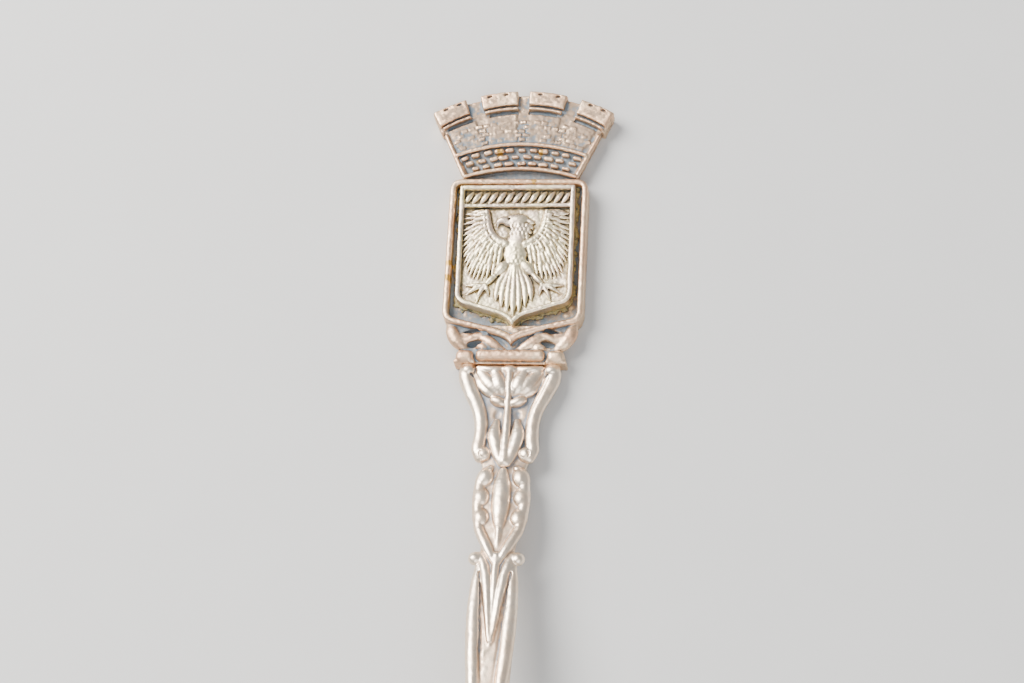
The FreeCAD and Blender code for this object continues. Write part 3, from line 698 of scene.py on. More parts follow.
def wings(clay):
    """Two fanned wings: long outer feathers, shorter inner rows, and coverts along the leading edge."""
    arm = [(3.4, 45.3), (3.25, 44.0), (2.95, 42.8), (2.2, 41.75), (1.1, 41.1)]
    tips = [(4.6, 45.4), (6.0, 45.0), (6.1, 43.0), (6.1, 41.0)]
    tips += [(5.9, 38.9), (5.2, 37.2), (3.8, 36.7), (2.0, 37.4)]
    rows = ((22, 1.0, 0.0, 0.46, 0.10), (17, 0.66, 0.06, 0.48, 0.26), (13, 0.40, 0.05, 0.48, 0.38))
    for s in SIDES:
        for count, reach, uneven, width, lift in rows:
            for k in range(count):
                share = (k + 0.5) / count if reach < 1 else k / (count - 1)
                root, tip = along(arm, share), along(tips, share)
                tip = root + (tip - root) * (reach - uneven * (k % 2))
                height = FIELD_Z + lift + 0.08 * (k % 2)
                clay.add(feather(root * (s, 1), tip * (s, 1), width, height, 0.06 * s), 0.04)
        edge = [(s * x, y, FIELD_Z + 0.25, 0.26 + 0.06 * k) for k, (x, y) in enumerate(arm)]
        clay.add(stroke(edge, 0.8), 0.1)
        for k in range(24):
            x, y = along(arm, k / 24)
            out = 0.08 + 0.34 * (k % 2)
            clay.add(ball((s * (x + out), y - out, FIELD_Z + 0.46), (0.2, 0.3, 0.15), -35 * s), 0.04)


def legs(clay):
    """Feathered thighs, shanks and spread claws."""
    heel_x, heel_y = 3.3, 36.0
    balls(clay, (1.45, 38.2, FIELD_Z + 0.2), (1.15, 0.6, 0.42), -50)
    for s in SIDES:
        clay.add(feather((s * 1.9, 37.6), (s * heel_x, heel_y + 0.1), 0.62, FIELD_Z + 0.25), 0.08)
    for x, y in ((5.6, 36.0), (5.5, 34.9), (4.3, 33.9), (2.9, 34.7)):
        claw = [
            (heel_x, heel_y, FIELD_Z + 0.25, 0.26),
            (heel_x + (x - heel_x) * 0.6, heel_y + (y - heel_y) * 0.45, FIELD_Z + 0.3, 0.24),
            (x, y, FIELD_Z + 0.1, 0.08),
        ]
        strokes(clay, claw, 0.8, 0.06)


def tail(clay):
    """Fan of tail feathers, the middle one longest."""
    for k in (-3, 3, -2, 2, -1, 1, 0):
        tip = (0.68 * k, 32.35 + 0.42 * abs(k) ** 1.35)
        lift = 0.34 - 0.05 * abs(k)
        clay.add(feather((0.2 * k, 38.3), tip, 0.72, FIELD_Z + lift, 0.03 * k, 0.7), 0.05)


def body(clay, rng):
    """Feathered body and thick neck with a ragged nape, and a plain head turned to the left."""
    clay.add(ball((0, 40.2, FIELD_Z + 0.1), (1.4, 2.4, 0.55)), 0.1)
    level = FIELD_Z + 0.1
    neck = [(0.1, 41.4, level, 1.1), (0.4, 42.7, level, 1.0), (0.25, 43.8, level, 1.0)]
    clay.add(stroke(neck, 0.55))
    for k in range(4):
        nape = (0.9, 44.3 - 0.62 * k)
        clay.add(feather(nape, (2.05 - 0.16 * k, nape[1] - 0.5), 0.62, FIELD_Z + 0.22), 0.05)
    for row in range(10):
        y = 43.4 - 0.5 * row
        shift = min(0.35, max(0.0, 0.3 * (y - 41.2)))
        for k in range(-2, 3):
            x = (k + 0.5 * (row % 2)) * 0.44
            bulge = FIELD_Z + 0.53 + 0.2 * shift - 0.2 * abs(x) + rng.uniform(-0.02, 0.02)
            clay.add(ball((x + shift, y, bulge), (0.25, 0.36, 0.15)), 0.05)
    clay.add(ball((-0.05, 44.1, FIELD_Z + 0.18), (1.5, 0.86, 0.5), 8), 0.08)
    beak = [
        (-1.1, 44.1, FIELD_Z + 0.22, 0.46),
        (-1.7, 44.15, FIELD_Z + 0.28, 0.4),
        (-2.15, 43.85, FIELD_Z + 0.2, 0.24),
        (-2.25, 43.35, FIELD_Z + 0.12, 0.08),
    ]
    clay.add(stroke(beak, 0.9), 0.08)
    clay.cut(stroke([(-2.0, 43.7, FIELD_Z + 0.45, 0.07), (-1.2, 43.8, FIELD_Z + 0.6, 0.1)]), 0.04)
    clay.cut(ball((-0.85, 44.3, FIELD_Z + 0.62), (0.19, 0.17, 0.32)), 0.04)


def title_band(clay):
    """Twisted rope moulding over a bar, in place of lettering."""
    inner = PLAQUE_HALF - 0.55
    clay.add(tile((0, TITLE + 0.2), inner + 0.2, 0.22, 1.6, 2.85, edge=0.14), 0.06)
    low, high = TITLE + 0.62, PLAQUE_TOP - 0.75
    pitch = 2 * inner / STRANDS
    for k in range(STRANDS):
        x = (k - (STRANDS - 1) / 2) * pitch
        lean = 0.4 * pitch
        strand = [
            (x - lean - 0.1, low, FIELD_Z - 0.05, 0.2),
            (x - 0.4 * lean, (2 * low + high) / 3, FIELD_Z + 0.12, 0.3),
            (x + 0.4 * lean, (low + 2 * high) / 3, FIELD_Z + 0.12, 0.3),
            (x + lean + 0.1, high, FIELD_Z - 0.05, 0.2),
        ]
        clay.add(stroke(strand), 0.04)


def make_plaque():
    rng = np.random.default_rng(23)
    low, high = (-PLAQUE_HALF, PLAQUE_TIP, PLAQUE_LOW[2]), (PLAQUE_HALF, PLAQUE_TOP, PLAQUE_HIGH[2])
    clay = Clay(low, high, cell=0.07)
    outline = polygon(shield(PLAQUE_HALF, PLAQUE_TOP, PLAQUE_TIP, 0.25))

    def rim(x, y):
        return np.abs(outline(x, y) + 0.28) - 0.28

    clay.add(slab(outline, low, (PLAQUE_HALF, PLAQUE_TOP, FIELD_Z), 0.08))
    wings(clay)
    tail(clay)
    legs(clay)
    body(clay, rng)
    title_band(clay)
    clay.add(slab(rim, low, high, 0.22), 0.1)
    clay.roughen(0.010, grain=0.2, seed=3)
    clay.roughen(0.010, grain=0.7, seed=4)
    clay.keep_between(2, PLAQUE_LOW[2], PLAQUE_HIGH[2])
    clay.keep_inside(lambda x, y, z: outline(x, y))
    return clay.piece("plaque_struck", budget=170_000, bend=glued_crooked)


def glued_crooked(points):
    """Points turned with the plaque about the middle of its frame."""
    middle = np.array([0.0, (FRAME_TOP + FRAME_TIP) / 2, 0.0])
    c, s = math.cos(PLAQUE_TURN), math.sin(PLAQUE_TURN)
    return (points - middle) @ np.array([[c, s, 0], [-s, c, 0], [0, 0, 1]]) + middle


def make_glue():
    """Thin uneven bed of glue, squeezed out in lumps round the plaque."""
    rng = np.random.default_rng(5)
    clay = Clay(GLUE_LOW, GLUE_HIGH + (0, 0, 0.5), cell=0.1)
    outline = polygon(shield(PLAQUE_HALF + 0.1, PLAQUE_TOP + 0.1, PLAQUE_TIP - 0.15, 0.3))
    low, high = (-7, PLAQUE_TIP - 0.2, GLUE_LOW[2]), (7, PLAQUE_TOP + 0.2, GLUE_HIGH[2])
    clay.add(slab(outline, low, high, 0.08))
    rim_points = shield(PLAQUE_HALF + 0.14, PLAQUE_TOP + 0.05, PLAQUE_TIP - 0.2, 0.3)
    pitch = 0.45
    for start, end in zip(rim_points, np.roll(rim_points, -1, axis=0)):
        for share in np.arange(0, 1, pitch / max(pitch, math.dist(start, end))):
            if rng.random() < 0.5:
                continue
            x, y = start + (end - start) * share + rng.uniform(-0.08, 0.08, 2)
            size = rng.uniform(0.18, 0.42)
            clay.add(ball((x, y, GLUE_LOW[2]), (size, size * rng.uniform(0.8, 1.6), size * 0.8)), 0.2)
    clay.roughen(0.012, grain=0.5, seed=6)
    clay.keep_between(2, GLUE_LOW[2], GLUE_HIGH[2] + 0.3)
    under = polygon(shield(PLAQUE_HALF, PLAQUE_TOP, PLAQUE_TIP, 0.25))
    clay.cut(slab(under, (-7, PLAQUE_TIP, GLUE_HIGH[2]), (7, PLAQUE_TOP, 3.0), 0.01), 0.01)
    return clay.piece("glue_bed", budget=60_000, bend=glued_crooked)


# ---------------------------------------------------------------- handle

HANDLE_Z = 1.15  # middle of the handle at the ledge
RISE = 6.3
RISE_RUN = 50.0
SCARF_Y = -18.0
SCARF_GAP = 0.1

# Plan and thickness of the handle: (y, half width, half thickness in front, half thickness behind).
CORE = np.array(
    [
        (LEDGE, 5.7, 0.30, 0.80),
        (25.0, 5.65, 0.30, 0.80),
        (23.6, 5.05, 0.30, 0.80),
        (21.8, 4.15, 0.30, 0.82),
        (20.0, 3.65, 0.32, 0.86),
        (17.8, 3.55, 0.36, 0.92),
        (16.2, 3.50, 0.45, 0.95),
        (15.0, 2.95, 0.50, 1.00),
        (14.1, 2.40, 0.40, 1.05),
        (12.4, 2.80, 0.70, 1.15),
        (9.6, 3.05, 0.80, 1.22),
        (7.0, 2.70, 0.85, 1.22),
        (5.0, 2.00, 0.90, 1.20),
        (2.8, 1.80, 0.90, 1.15),
        (0.8, 2.10, 0.70, 1.10),
        (-2.6, 2.50, 0.60, 1.08),
        (-6.2, 2.60, 0.60, 1.08),
        (-11.7, 2.35, 0.80, 1.10),
        (-15.0, 2.03, 1.05, 1.14),
        (-20.0, 1.75, 1.20, 1.20),
        (-24.0, 2.10, 1.20, 1.20),
    ]
)


def handle_z(y):
    """Middle height of the handle: flat at the ledge, rising in one smooth bend to the neck."""
    run = np.clip(LEDGE - y, 0.0, RISE_RUN)
    return HANDLE_Z + RISE * (1 - np.cos(math.pi * run / RISE_RUN)) / 2


def core_value(column, y):
    """A column of the core table, eased between its rows."""
    ticks = np.linspace(CORE[-1, 0], CORE[0, 0], 400)
    raw = np.interp(ticks, CORE[::-1, 0], CORE[::-1, column])
    kernel = np.hanning(13) / np.hanning(13).sum()
    eased = np.convolve(np.pad(raw, 6, mode="edge"), kernel, mode="valid")
    return np.interp(y, ticks, eased)


def core(x, y, z):
    """Distance to the plain bar under the handle's ornament."""
    half = core_value(1, y)
    thick = np.where(z > 0, core_value(2, y), core_value(3, y))
    return bar_distance(x, z, half, thick)


def console_rails(clay):
    """Grooved side rails that end in volutes."""
    rails = [
        (4.85, 26.2, 0.30, 0.85), (4.9, 24.9, 0.35, 0.92), (4.22, 23.1, 0.40, 0.86),
        (3.38, 21.3, 0.40, 0.80), (2.95, 19.5, 0.40, 0.76), (2.9, 17.6, 0.40, 0.76),
        (3.05, 16.2, 0.42, 0.78), (2.8, 15.1, 0.40, 0.60),
    ]
    strokes(clay, rails, flat=0.9)
    groove = [(x - 0.42, y, 1.1, 0.07) for x, y, _, _ in rails[1:-1]]
    strokes(clay, groove, soft=0.12, cut=True)
    balls(clay, (4.75, 25.75, 0.85), (0.7, 0.6, 0.5))
    balls(clay, (4.2, 25.1, 0.85), (0.4, 0.16, 0.4), 35, 0.1, cut=True)
    volute_x, volute_y = 2.42, 15.55
    balls(clay, (volute_x, volute_y, 0.5), (0.9, 0.9, 0.72))
    turns = zip(np.linspace(0.85, 0.3, 9), np.radians(np.linspace(120, 400, 9)))
    curl = [(volute_x + r * math.cos(a), volute_y + r * math.sin(a), 1.12, 0.08) for r, a in turns]
    strokes(clay, curl, 2.0, 0.1, cut=True)


def palmette(clay):
    """Fan of lobes under a lip, between the rails."""
    lobes = (
        [(0.45, 22.9, 0.45, 0.45), (1.05, 24.0, 0.7, 0.85), (1.6, 25.5, 0.5, 0.7)],
        [(0.6, 22.9, 0.40, 0.40), (1.95, 23.9, 0.6, 0.85), (3.25, 25.5, 0.4, 0.65)],
        [(0.9, 22.7, 0.35, 0.3), (2.4, 23.3, 0.45, 0.62), (3.6, 24.6, 0.35, 0.45), (3.95, 25.5, 0.3, 0.4)],
    )
    for lobe in lobes:
        strokes(clay, lobe, 0.8, 0.12)
    strokes(clay, [(0.9, 26.0, 0.5, 0.36), (2.2, 25.9, 0.65, 0.42), (3.6, 26.1, 0.5, 0.3)])
    clay.add(ball((0, 25.9, 0.6), (0.9, 0.55, 0.5)), 0.15)
    vein = [(0, 25.4, 0.7, 0.45), (0, 24.3, 0.85, 0.4), (0, 22.9, 0.8, 0.34), (0, 21.8, 0.6, 0.4)]
    clay.add(stroke(vein), 0.15)
    balls(clay, (0.75, 25.3, 0.4), (0.6, 0.6, 0.45), 0, 0.15)
    balls(clay, (1.1, 22.0, 0.5), (1.1, 0.6, 0.62), 22)


def long_leaf(clay):
    """Stalk below the palmette with half a folded leaf on each side."""
    balls(clay, (1.2, 20.5, 0.7), (0.5, 0.75, 0.55), 12, 0.15, cut=True)
    stalk = [(0, 21.9, 0.6, 0.38), (0, 20.2, 0.65, 0.45), (0, 17.6, 0.75, 0.5), (0, 14.6, 0.8, 0.6)]
    clay.add(stroke(stalk), 0.15)
    leaf = [(1.15, 19.6, 0.45, 0.35), (1.3, 17.9, 0.6, 0.78), (0.9, 16.0, 0.7, 0.72), (0.3, 14.4, 0.75, 0.5)]
    strokes(clay, leaf, 0.85)
    fold = [(0.55, 19.0, 1.1, 0.07), (0.6, 17.4, 1.3, 0.08), (0.4, 15.8, 1.35, 0.05)]
    strokes(clay, fold, soft=0.12, cut=True)


def bud(clay):
    """Oval bud: thick sides with three swellings each, a long boss and ribs that meet below."""
    sides = [
        (1.5, 13.75, 0.5, 0.40), (2.3, 12.9, 0.42, 0.60), (2.5, 11.0, 0.42, 0.68),
        (2.5, 8.9, 0.45, 0.68), (2.2, 6.4, 0.5, 0.60), (1.7, 4.9, 0.55, 0.45),
    ]
    strokes(clay, sides)
    for x, y, lean in ((2.0, 12.6, 14), (2.25, 10.15, 0), (2.1, 7.7, -10)):
        balls(clay, (x, y, 0.5), (0.98, 1.2, 0.84), lean, 0.1)
    boss = [(0, 13.4, 0.6, 0.5), (0, 11.4, 0.7, 1.0), (0, 9.0, 0.75, 1.02)]
    boss += [(0, 7.1, 0.75, 0.7), (0, 6.2, 0.7, 0.3)]
    clay.add(stroke(boss, 0.85), 0.15)
    ribs = [(2.1, 6.1, 0.6, 0.55), (1.5, 4.8, 0.75, 0.62), (0.85, 3.5, 0.85, 0.55), (0.3, 2.3, 0.85, 0.35)]
    strokes(clay, ribs)
    clay.add(stroke([(0, 6.3, 0.7, 0.4), (0, 5.2, 0.75, 0.36), (0, 4.2, 0.7, 0.2)]), 0.15)
    balls(clay, (2.35, 2.75, 0.45), (0.78, 0.78, 0.78), 0, 0.1)


def leaf_stem(clay):
    """Slender leaf between two side ribs that close up towards the neck."""
    ribs = [
        (1.8, 1.9, 0.4, 0.50), (1.95, -0.6, 0.42, 0.70), (1.95, -4.0, 0.45, 0.82),
        (1.8, -7.5, 0.5, 0.84), (1.5, -11.7, 0.6, 0.70), (0.95, -15.6, 0.8, 0.35),
    ]
    strokes(clay, ribs)
    petals = [
        (1.75, 3.1, 0.55, 0.42), (1.25, 1.7, 0.65, 0.58), (0.85, -0.5, 0.7, 0.56),
        (0.5, -3.5, 0.7, 0.42), (0.15, -7.0, 0.65, 0.18),
    ]
    strokes(clay, petals, soft=0.2)
    spine = [(0, 3.0, 0.9, 0.42), (0, 0.5, 0.85, 0.4), (0, -3.0, 0.75, 0.3), (0, -7.4, 0.6, 0.14)]
    clay.add(stroke(spine), 0.2)
    grooves = [
        (1.75, 1.0, 0.85, 0.10), (1.45, -2.4, 0.75, 0.20), (1.1, -6.5, 0.75, 0.26),
        (0.7, -11.0, 1.0, 0.16), (0.4, -13.5, 1.25, 0.08),
    ]
    strokes(clay, grooves, cut=True)


def tenon():
    """Tongue that the finial is soldered to."""
    film, root = 0.08, 2.0
    start, end = LEDGE - root, SOCKET_HIGH[1] - film
    low, high = SOCKET_LOW[2] + film - HANDLE_Z, SOCKET_HIGH[2] - film - HANDLE_Z
    half_x = (SOCKET_HIGH[0] - SOCKET_LOW[0]) / 2 - film
    return tile((0, (start + end) / 2), half_x, (end - start) / 2, low, high, edge=0.05)


def above_scarf(x, y, z):
    """Distance to the handle's side of the scarf joint, in heights from the bent middle line."""
    plane = ((y - SCARF_Y) + (z + handle_z(y) - handle_z(SCARF_Y))) * math.sqrt(0.5)
    return SCARF_GAP * math.sqrt(0.5) / 2 - plane


def make_handle():
    low, high = (-6.4, SCARF_Y - 2.5, -1.4), (6.4, HANDLE_HIGH[1], 1.9)
    clay = Clay(low, high, cell=0.09)
    clay.add((core, (-6.4, SCARF_Y - 3, -1.4), (6.4, LEDGE + 0.5, 1.5)))
    console_rails(clay)
    palmette(clay)
    long_leaf(clay)
    bud(clay)
    leaf_stem(clay)
    clay.roughen(0.008, grain=0.3, seed=7)
    clay.roughen(0.010, grain=1.2, seed=8)
    clay.keep_between(1, -math.inf, LEDGE)
    clay.add(tenon(), 0.02)
    clay.keep_inside(above_scarf)
    return clay.piece("handle_cast", bend=raised)


def raised(points):
    """Points lifted on to the handle's bent middle line."""
    lift = handle_z(points[:, 1])
    return points + np.stack([0 * lift, 0 * lift, lift], axis=1)


# ---------------------------------------------------------------- bowl

BOWL_MID = -41.0  # widest place
RIM_PLANE = 7.0
EGG_TOP = 12.0  # centre of the ellipsoids whose lower cap is the bowl
HEEL = 16.5  # from the widest place to the handle's end of the bowl
SHEET = 1.0


def egg(x, y, z, thickness):
    """Distance to the bowl's outer egg, or to the inner one a thickness inside."""
    height = EGG_TOP - thickness
    at_rim = math.sqrt(1 - ((EGG_TOP - RIM_PLANE) / height) ** 2)
    half = (BOWL_HIGH[0] - thickness) / at_rim
    tip = (BOWL_MID - BOWL_LOW[1] - thickness) / at_rim
    heel = (HEEL - thickness) / at_rim
    reach = np.where(y > BOWL_MID, heel, tip)
    return ellipsoid(x, y - BOWL_MID, z - EGG_TOP, half, reach, height)


# Heel tang, which runs from the scarf under the bowl as a pointed drop:
# (y, middle z, half width, half thickness).
TANG = np.array(
    [
        (-15.0, 7.30, 2.0, 1.15), (-20.0, 7.38, 1.75, 1.20), (-23.0, 7.45, 2.10, 1.20),
        (-25.6, 6.35, 2.60, 1.15), (-28.0, 3.90, 2.30, 0.85), (-31.0, 2.15, 1.40, 0.55),
        (-33.5, 1.22, 0.50, 0.30),
    ]
)


def tang(x, y, z):
    """Distance to the heel tang."""
    path = smooth_path(TANG, 12)[::-1]
    middle, half, thick = (np.interp(y, path[:, 0], path[:, k]) for k in (1, 2, 3))
    middle = np.where(y > TANG[1, 0], handle_z(y), middle)
    return np.maximum(bar_distance(x, z - middle, half, thick), TANG[-1, 0] - y)


def bowl_distance(x, y, z):
    """Distance to the whole bowl: sheet, rounded rim and tang, cut off at the scarf."""
    cap = -soft_min(-egg(x, y, z, 0.0), RIM_PLANE - z, 0.3)
    joined = soft_min(cap, tang(x, y, z), 0.7)
    hollowed = -soft_min(-joined, egg(x, y, z, SHEET), 0.3)
    plane = (y - SCARF_Y + z - handle_z(SCARF_Y)) * math.sqrt(0.5)
    return np.maximum(hollowed, plane + SCARF_GAP * math.sqrt(0.5) / 2)


def drawn_in(points):
    """Points moved along the slope of the distance until they lie on the bowl's exact surface."""
    step = 1e-3
    for _ in range(3):
        near = bowl_distance(*points.T)
        ahead = [bowl_distance(*(points + step * axis).T) - near for axis in np.eye(3)]
        slope = np.stack(ahead, axis=1) / step
        move = near[:, None] * slope / ((slope**2).sum(1, keepdims=True) + 1e-6)
        points = points - np.clip(move, -0.1, 0.1)
    return points


def make_bowl():
    clay = Clay((*BOWL_LOW[:2], 0.0), BOWL_HIGH, cell=0.15)
    clay.add((bowl_distance, BOWL_LOW - 0.6, BOWL_HIGH + 0.6), 0.01)
    return clay.piece("bowl_sheet", bend=drawn_in)


# ---------------------------------------------------------------- materials

AMBER = (0.52, 0.33, 0.12)


class Graph:
    """A node material, written as nested calls."""

    def __init__(self, name):
        self.material = bpy.data.materials.new(name)
        self.material.use_nodes = True
        self.tree = self.material.node_tree
        self.shader = self.tree.nodes["Principled BSDF"]

    def node(self, kind, inputs, settings=None):
        """Adds a shader node; inputs maps a socket's name or number to a value or another node's socket."""
        node = self.tree.nodes.new("ShaderNode" + kind)
        for name, value in (settings or {}).items():
            setattr(node, name, value)
        for name, value in inputs.items():
            self.put(node.inputs[name], value)
        return node

    def put(self, socket, value):
        """Links or sets one input; colours are red, green and blue."""
        if isinstance(value, bpy.types.NodeSocket):
            self.tree.links.new(value, socket)
        else:
            socket.default_value = (*value, 1.0) if socket.type == "RGBA" else value

    def place(self):
        return self.node("TexCoord", {}).outputs["Object"]

    def noise(self, size, detail=3.0):
        """Noise from 0 to 1 with blotches of about size millimetres."""
        inputs = {"Vector": self.place(), "Scale": 0.5 / (size * MM), "Detail": detail, "Roughness": 0.55}
        return self.node("TexNoise", inputs).outputs["Fac"]

    def attribute(self, name):
        return self.node("Attribute", {}, {"attribute_name": name}).outputs["Fac"]

    def math(self, operation, a, b, c=0.0):
        return self.node("Math", {0: a, 1: b, 2: c}, {"operation": operation}).outputs[0]

    def ramp(self, value, low, high, out_low=0.0, out_high=1.0):
        """Smooth step from out_low to out_high as value goes from low to high."""
        inputs = {"Value": value, "From Min": low, "From Max": high, "To Min": out_low, "To Max": out_high}
        return self.node("MapRange", inputs, {"interpolation_type": "SMOOTHSTEP"}).outputs["Result"]

    def mix(self, share, a, b):
        """Colour between a and b."""
        node = self.node("Mix", {}, {"data_type": "RGBA"})
        self.put(node.inputs[0], share)
        self.put(node.inputs[6], a)
        self.put(node.inputs[7], b)
        return node.outputs[2]

    def bump(self, height, distance, strength, normal=None):
        """Normal bent by a height map that is distance millimetres deep."""
        inputs = {"Height": height, "Distance": distance * MM, "Strength": strength}
        if normal is not None:
            inputs["Normal"] = normal
        return self.node("Bump", inputs).outputs["Normal"]

    def spot(self, x, y, radius, ragged):
        """One within a radius of a place in plan, none outside, with a ragged edge; in millimetres."""
        flat = self.node("VectorMath", {0: self.place(), 1: (1, 1, 0)}, {"operation": "MULTIPLY"})
        inputs = {0: flat.outputs[0], 1: (x * MM, y * MM, 0)}
        away = self.node("VectorMath", inputs, {"operation": "DISTANCE"}).outputs["Value"]
        away = self.math("MULTIPLY_ADD", ragged, 1.2 * radius * MM, away)
        return self.ramp(away, 1.3 * radius * MM, 0.9 * radius * MM)

    def finish(self, **inputs):
        for name, value in inputs.items():
            self.put(self.shader.inputs[name.replace("_", " ")], value)
        return self.material


def plated(
    name, bright, worn, patina_and_shade, film, start, span,
    fine_share=0.4, mottle=1.0, steps=(), beyond=(0.0, 0.0), rough=0.4, grain=1.0, wear=1.0, stains=(),
):
    """Worn plate over copper alloy: rubbed bright on the high points, darker in the recesses as real tarnish
    and painted shade.

    bright is sound plate, worn is plate rubbed to the copper, the third colour the brown that starts to show
    where the recess measure passes start, and film the blue-black that covers it a span deeper; in the
    recesses both are partly real patina and tarnish and partly painted shade. fine_share is how much of the
    measure comes from small details, and mottle how uneven it is. steps are (height, gain) pairs: faces that
    look up and lie under a height count as that much deeper. beyond is a (y, gain) pair: for the brown,
    everything past y counts as deeper. grain scales the fine bumps, wear the patches of copper, and rough is
    the roughness of clean plate. stains are the (x, y, radius) of amber spots. All lengths are in
    millimetres.
    """
    g = Graph(name)
    blotch = g.noise(2.2, 4.0)
    fine = g.noise(0.32, 3.0)
    speck = g.noise(0.12, 2.0)
    broad = g.math("MULTIPLY", g.attribute("hollow"), 1 - fine_share)
    depth = g.math("MULTIPLY_ADD", g.attribute("edge"), fine_share, broad)
    depth = g.math("ADD", depth, g.math("MULTIPLY_ADD", fine, 0.10 * mottle, -0.05 * mottle))
    depth = g.math("ADD", depth, g.math("MULTIPLY_ADD", blotch, 0.12 * mottle, -0.06 * mottle))
    normal = g.node("NewGeometry", {}).outputs["Normal"]
    up = g.ramp(g.node("SeparateXYZ", {"Vector": normal}).outputs["Z"], 0.3, 0.8)
    for height, gain in steps:
        low = g.ramp(g.attribute("height"), height - 0.12, height + 0.12, gain, 0.0)
        depth = g.math("ADD", depth, g.math("MULTIPLY", low, up))
    along = g.node("SeparateXYZ", {"Vector": g.place()}).outputs["Y"]
    extra = g.ramp(along, (beyond[0] - 0.5) * MM, (beyond[0] + 0.5) * MM, 0.0, beyond[1])
    # Brown and then blue-black with the recess measure: partly real tarnish, partly painted shade in the
    # recesses.
    brown = g.ramp(g.math("ADD", depth, extra), start, start + span)
    dark = g.ramp(depth, start + span * 0.8, start + span * 2.2)
    bare = g.ramp(g.math("MULTIPLY_ADD", fine, 0.4, blotch), 0.55, 0.85, 0.0, wear)
    colour = g.mix(bare, bright, worn)
    colour = g.mix(g.ramp(speck, 0.55, 0.75, 0.0, 0.35 * wear), colour, patina_and_shade)
    # Painted shade mixed with real patina and tarnish: darker where the recess measure is deeper.
    colour = g.mix(brown, colour, patina_and_shade)
    colour = g.mix(dark, colour, g.mix(g.ramp(g.noise(0.5, 3.0), 0.35, 0.75, 0.0, 0.3), film, patina_and_shade))
    for x, y, radius in stains:
        colour = g.mix(g.spot(x, y, radius, fine), colour, AMBER)
    speckle = g.ramp(fine, 0.3, 0.7, -0.05, 0.09)
    roughness = g.math("ADD", g.ramp(brown, 0.0, 1.0, rough, rough + 0.15), speckle)
    bumps = g.bump(speck, 0.015 * grain, 0.7)
    bumps = g.bump(g.noise(0.45, 4.0), 0.02 * grain, 0.5, bumps)
    metallic = g.ramp(dark, 0.2, 1.0, 1.0, 0.4)
    return g.finish(Base_Color=colour, Metallic=metallic, Roughness=roughness, Normal=bumps)


# ---------------------------------------------------------------- stage

AZIMUTH, ELEVATION, ROLL = (math.radians(a) for a in (17.74, 67.6, -16.0))
DISTANCE = 290.0
TARGET = Vector((-0.15, TOP - 30.94, 0.0))


def make_camera():
    """Camera in front of the spoon and well above it, tilted about its own axis."""
    flat = math.cos(ELEVATION)
    back = Vector((math.sin(AZIMUTH) * flat, -math.cos(AZIMUTH) * flat, math.sin(ELEVATION)))
    turn = back.to_track_quat("Z", "Y") @ Quaternion((0, 0, 1), ROLL)
    data = bpy.data.cameras.new("camera")
    data.lens = 55.0
    data.sensor_width = 22.3
    data.clip_start = 0.01
    data.clip_end = 10.0
    camera = new_object("camera", data)
    camera.matrix_world = Matrix.LocRotScale((TARGET + back * DISTANCE) * MM, turn, None)
    bpy.context.scene.camera = camera


def area_light(name, place, size, power, colour):
    """Soft lamp aimed at the middle of the spoon; its place and size are in metres."""
    data = bpy.data.lights.new(name, "AREA")
    data.shape = "DISK"
    data.size = size
    data.energy = power
    data.color = colour
    lamp = new_object(name, data)
    lamp.location = place
    aim = Vector((0, 0.02, 0)) - lamp.location
    lamp.rotation_euler = aim.to_track_quat("-Z", "Y").to_euler()


def make_lights():
    area_light("key", (-0.32, 0.20, 0.38), 0.40, 5.0, (1.0, 0.98, 0.95))
    area_light("fill", (0.20, -0.40, 0.45), 0.6, 2.2, (0.94, 0.97, 1.0))
    world = bpy.data.worlds.new("studio")
    world.use_nodes = True
    background = world.node_tree.nodes["Background"].inputs
    background["Color"].default_value = (0.86, 0.9, 0.95, 1)
    background["Strength"].default_value = 0.5
    bpy.context.scene.world = world
    bpy.context.scene.view_settings.look = "AgX - Medium High Contrast"


def make_floor():
    """Plain pale sheet just under the spoon; half its width and its height are in metres."""
    half, height = 1.5, -0.00002
    corners = [(-half, -half, height), (half, -half, height), (half, half, height), (-half, half, height)]
    mesh = bpy.data.meshes.new("floor")
    mesh.from_pydata(corners, [], [(0, 1, 2, 3)])
    floor = new_object("floor", mesh)
    g = Graph("floor_paper")
    shade = g.mix(g.noise(6.0, 4.0), (0.60, 0.59, 0.575), (0.63, 0.62, 0.605))
    floor.data.materials.append(g.finish(Base_Color=shade, Roughness=0.85))


# ---------------------------------------------------------------- build


def dress(piece, nodes, material):
    """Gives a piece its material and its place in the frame."""
    piece.data.materials.clear()
    piece.data.materials.append(material)
    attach(piece, "root")
    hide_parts(*nodes)


def coat(node, material):
    """Gives a CAD node that stays in view its material."""
    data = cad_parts[node].data
    data.materials.clear()
    data.materials.append(material)


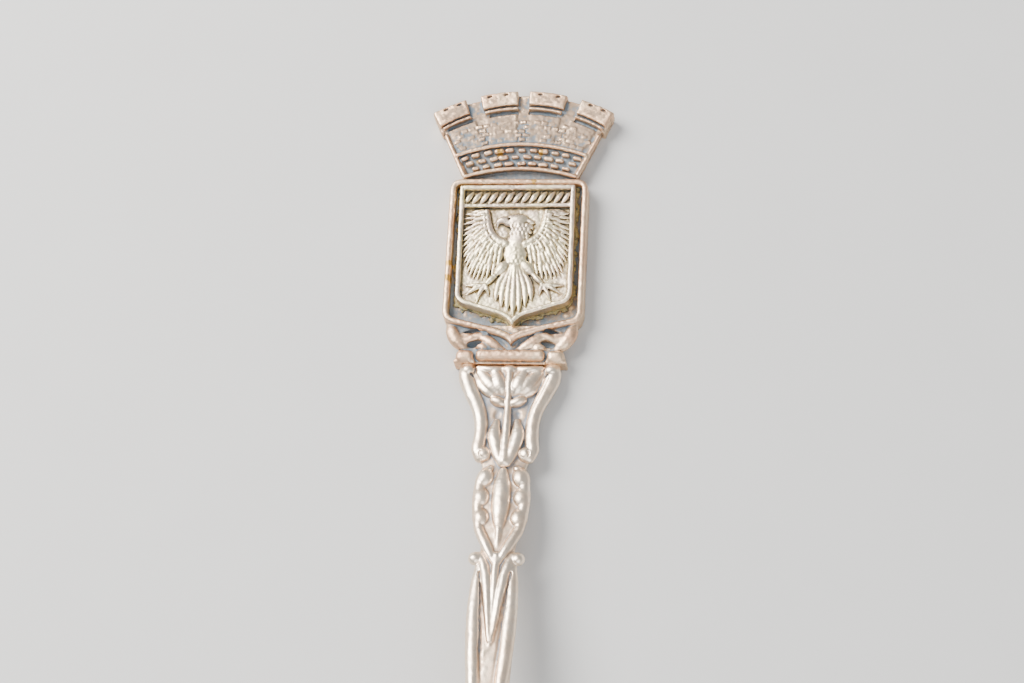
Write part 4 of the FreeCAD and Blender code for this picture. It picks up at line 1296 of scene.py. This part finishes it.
finial_plate = plated(
    "finial_plate",
    bright=(0.82, 0.63, 0.45), worn=(0.74, 0.50, 0.34), patina_and_shade=(0.43, 0.33, 0.25), film=(0.22, 0.26, 0.295),
    start=0.50, span=0.07, mottle=3.4, rough=0.46,
    steps=((WALL_Z + 0.22, 0.045), (WALL_Z - 0.1, 0.05)),
    beyond=(FRAME_TOP, 0.055),
    stains=(
        (-7.7, FRAME_TOP - 10.8, 0.8),
        (-7.75, FRAME_TOP - 12.6, 0.9),
        (1.7, FRAME_TOP - 0.4, 0.6),
        (-2.6, LOWER_RIDGE + 2.0, 0.7),
        (2.3, LOWER_RIDGE + 2.0, 0.6),
        (-5.2, LOWER_RIDGE + 0.9, 0.5),
    ),
)
# Lighter than the finial's colours: partly the stem's whiter plate, partly painted light lifted to stand in
# for the brighter, evenly filled light on the lower part of the spoon.
handle_plate = plated(
    "handle_plate",
    bright=(0.96, 0.82, 0.67), worn=(0.90, 0.72, 0.56), patina_and_shade=(0.66, 0.50, 0.37), film=(0.23, 0.26, 0.30),
    start=0.51, span=0.09, mottle=1.4, rough=0.36, grain=0.6,
    steps=((0.40, 0.08),),
)
# Its near-black last colour in the fine hollows between the feathers is partly tarnish and partly painted
# shade.
plaque_metal = plated(
    "plaque_metal",
    bright=(0.88, 0.78, 0.54), worn=(0.80, 0.66, 0.54), patina_and_shade=(0.40, 0.32, 0.20), film=(0.06, 0.06, 0.05),
    start=0.49, span=0.08, fine_share=0.65, rough=0.42, grain=0.6,
)
bowl_plate = plated(
    "bowl_plate",
    bright=(0.90, 0.79, 0.67), worn=(0.83, 0.68, 0.55), patina_and_shade=(0.55, 0.47, 0.39), film=(0.25, 0.23, 0.22),
    start=0.57, span=0.10, rough=0.24, grain=0.08, wear=0.35,
)


def aged_glue():
    """Old yellowed glue, slightly see-through at its edges."""
    g = Graph("aged_glue")
    shade = g.mix(g.noise(0.8, 4.0), (0.24, 0.18, 0.07), (0.50, 0.43, 0.23))
    shade = g.mix(g.ramp(g.noise(0.25), 0.45, 0.7), shade, (0.06, 0.07, 0.06))
    normal = g.bump(g.noise(0.2), 0.03, 0.6)
    soak = (2e-4, 1.5e-4, 5e-5)
    return g.finish(
        Base_Color=shade, Roughness=0.45, Normal=normal, Subsurface_Weight=0.15, Subsurface_Radius=soak
    )


def solder(name, shade, dull):
    """Dull grey filler metal with a frosted skin."""
    g = Graph(name)
    colour = g.mix(g.noise(0.3, 4.0), shade, dull)
    roughness = g.ramp(g.noise(0.2), 0.3, 0.7, 0.35, 0.55)
    normal = g.bump(g.noise(0.12), 0.02, 0.5)
    return g.finish(Base_Color=colour, Metallic=0.9, Roughness=roughness, Normal=normal)


dress(make_finial(), ["finial"], finial_plate)
dress(make_plaque(), ["plaque"], plaque_metal)
dress(make_glue(), ["plaque_adhesive"], aged_glue())
dress(make_handle(), ["handle"], handle_plate)
dress(make_bowl(), ["bowl"], bowl_plate)
coat("bowl_solder", solder("silver_solder", (0.74, 0.72, 0.66), (0.45, 0.43, 0.38)))
coat("finial_solder", solder("soft_solder", (0.66, 0.64, 0.60), (0.45, 0.43, 0.40)))
make_floor()
make_camera()
make_lights()
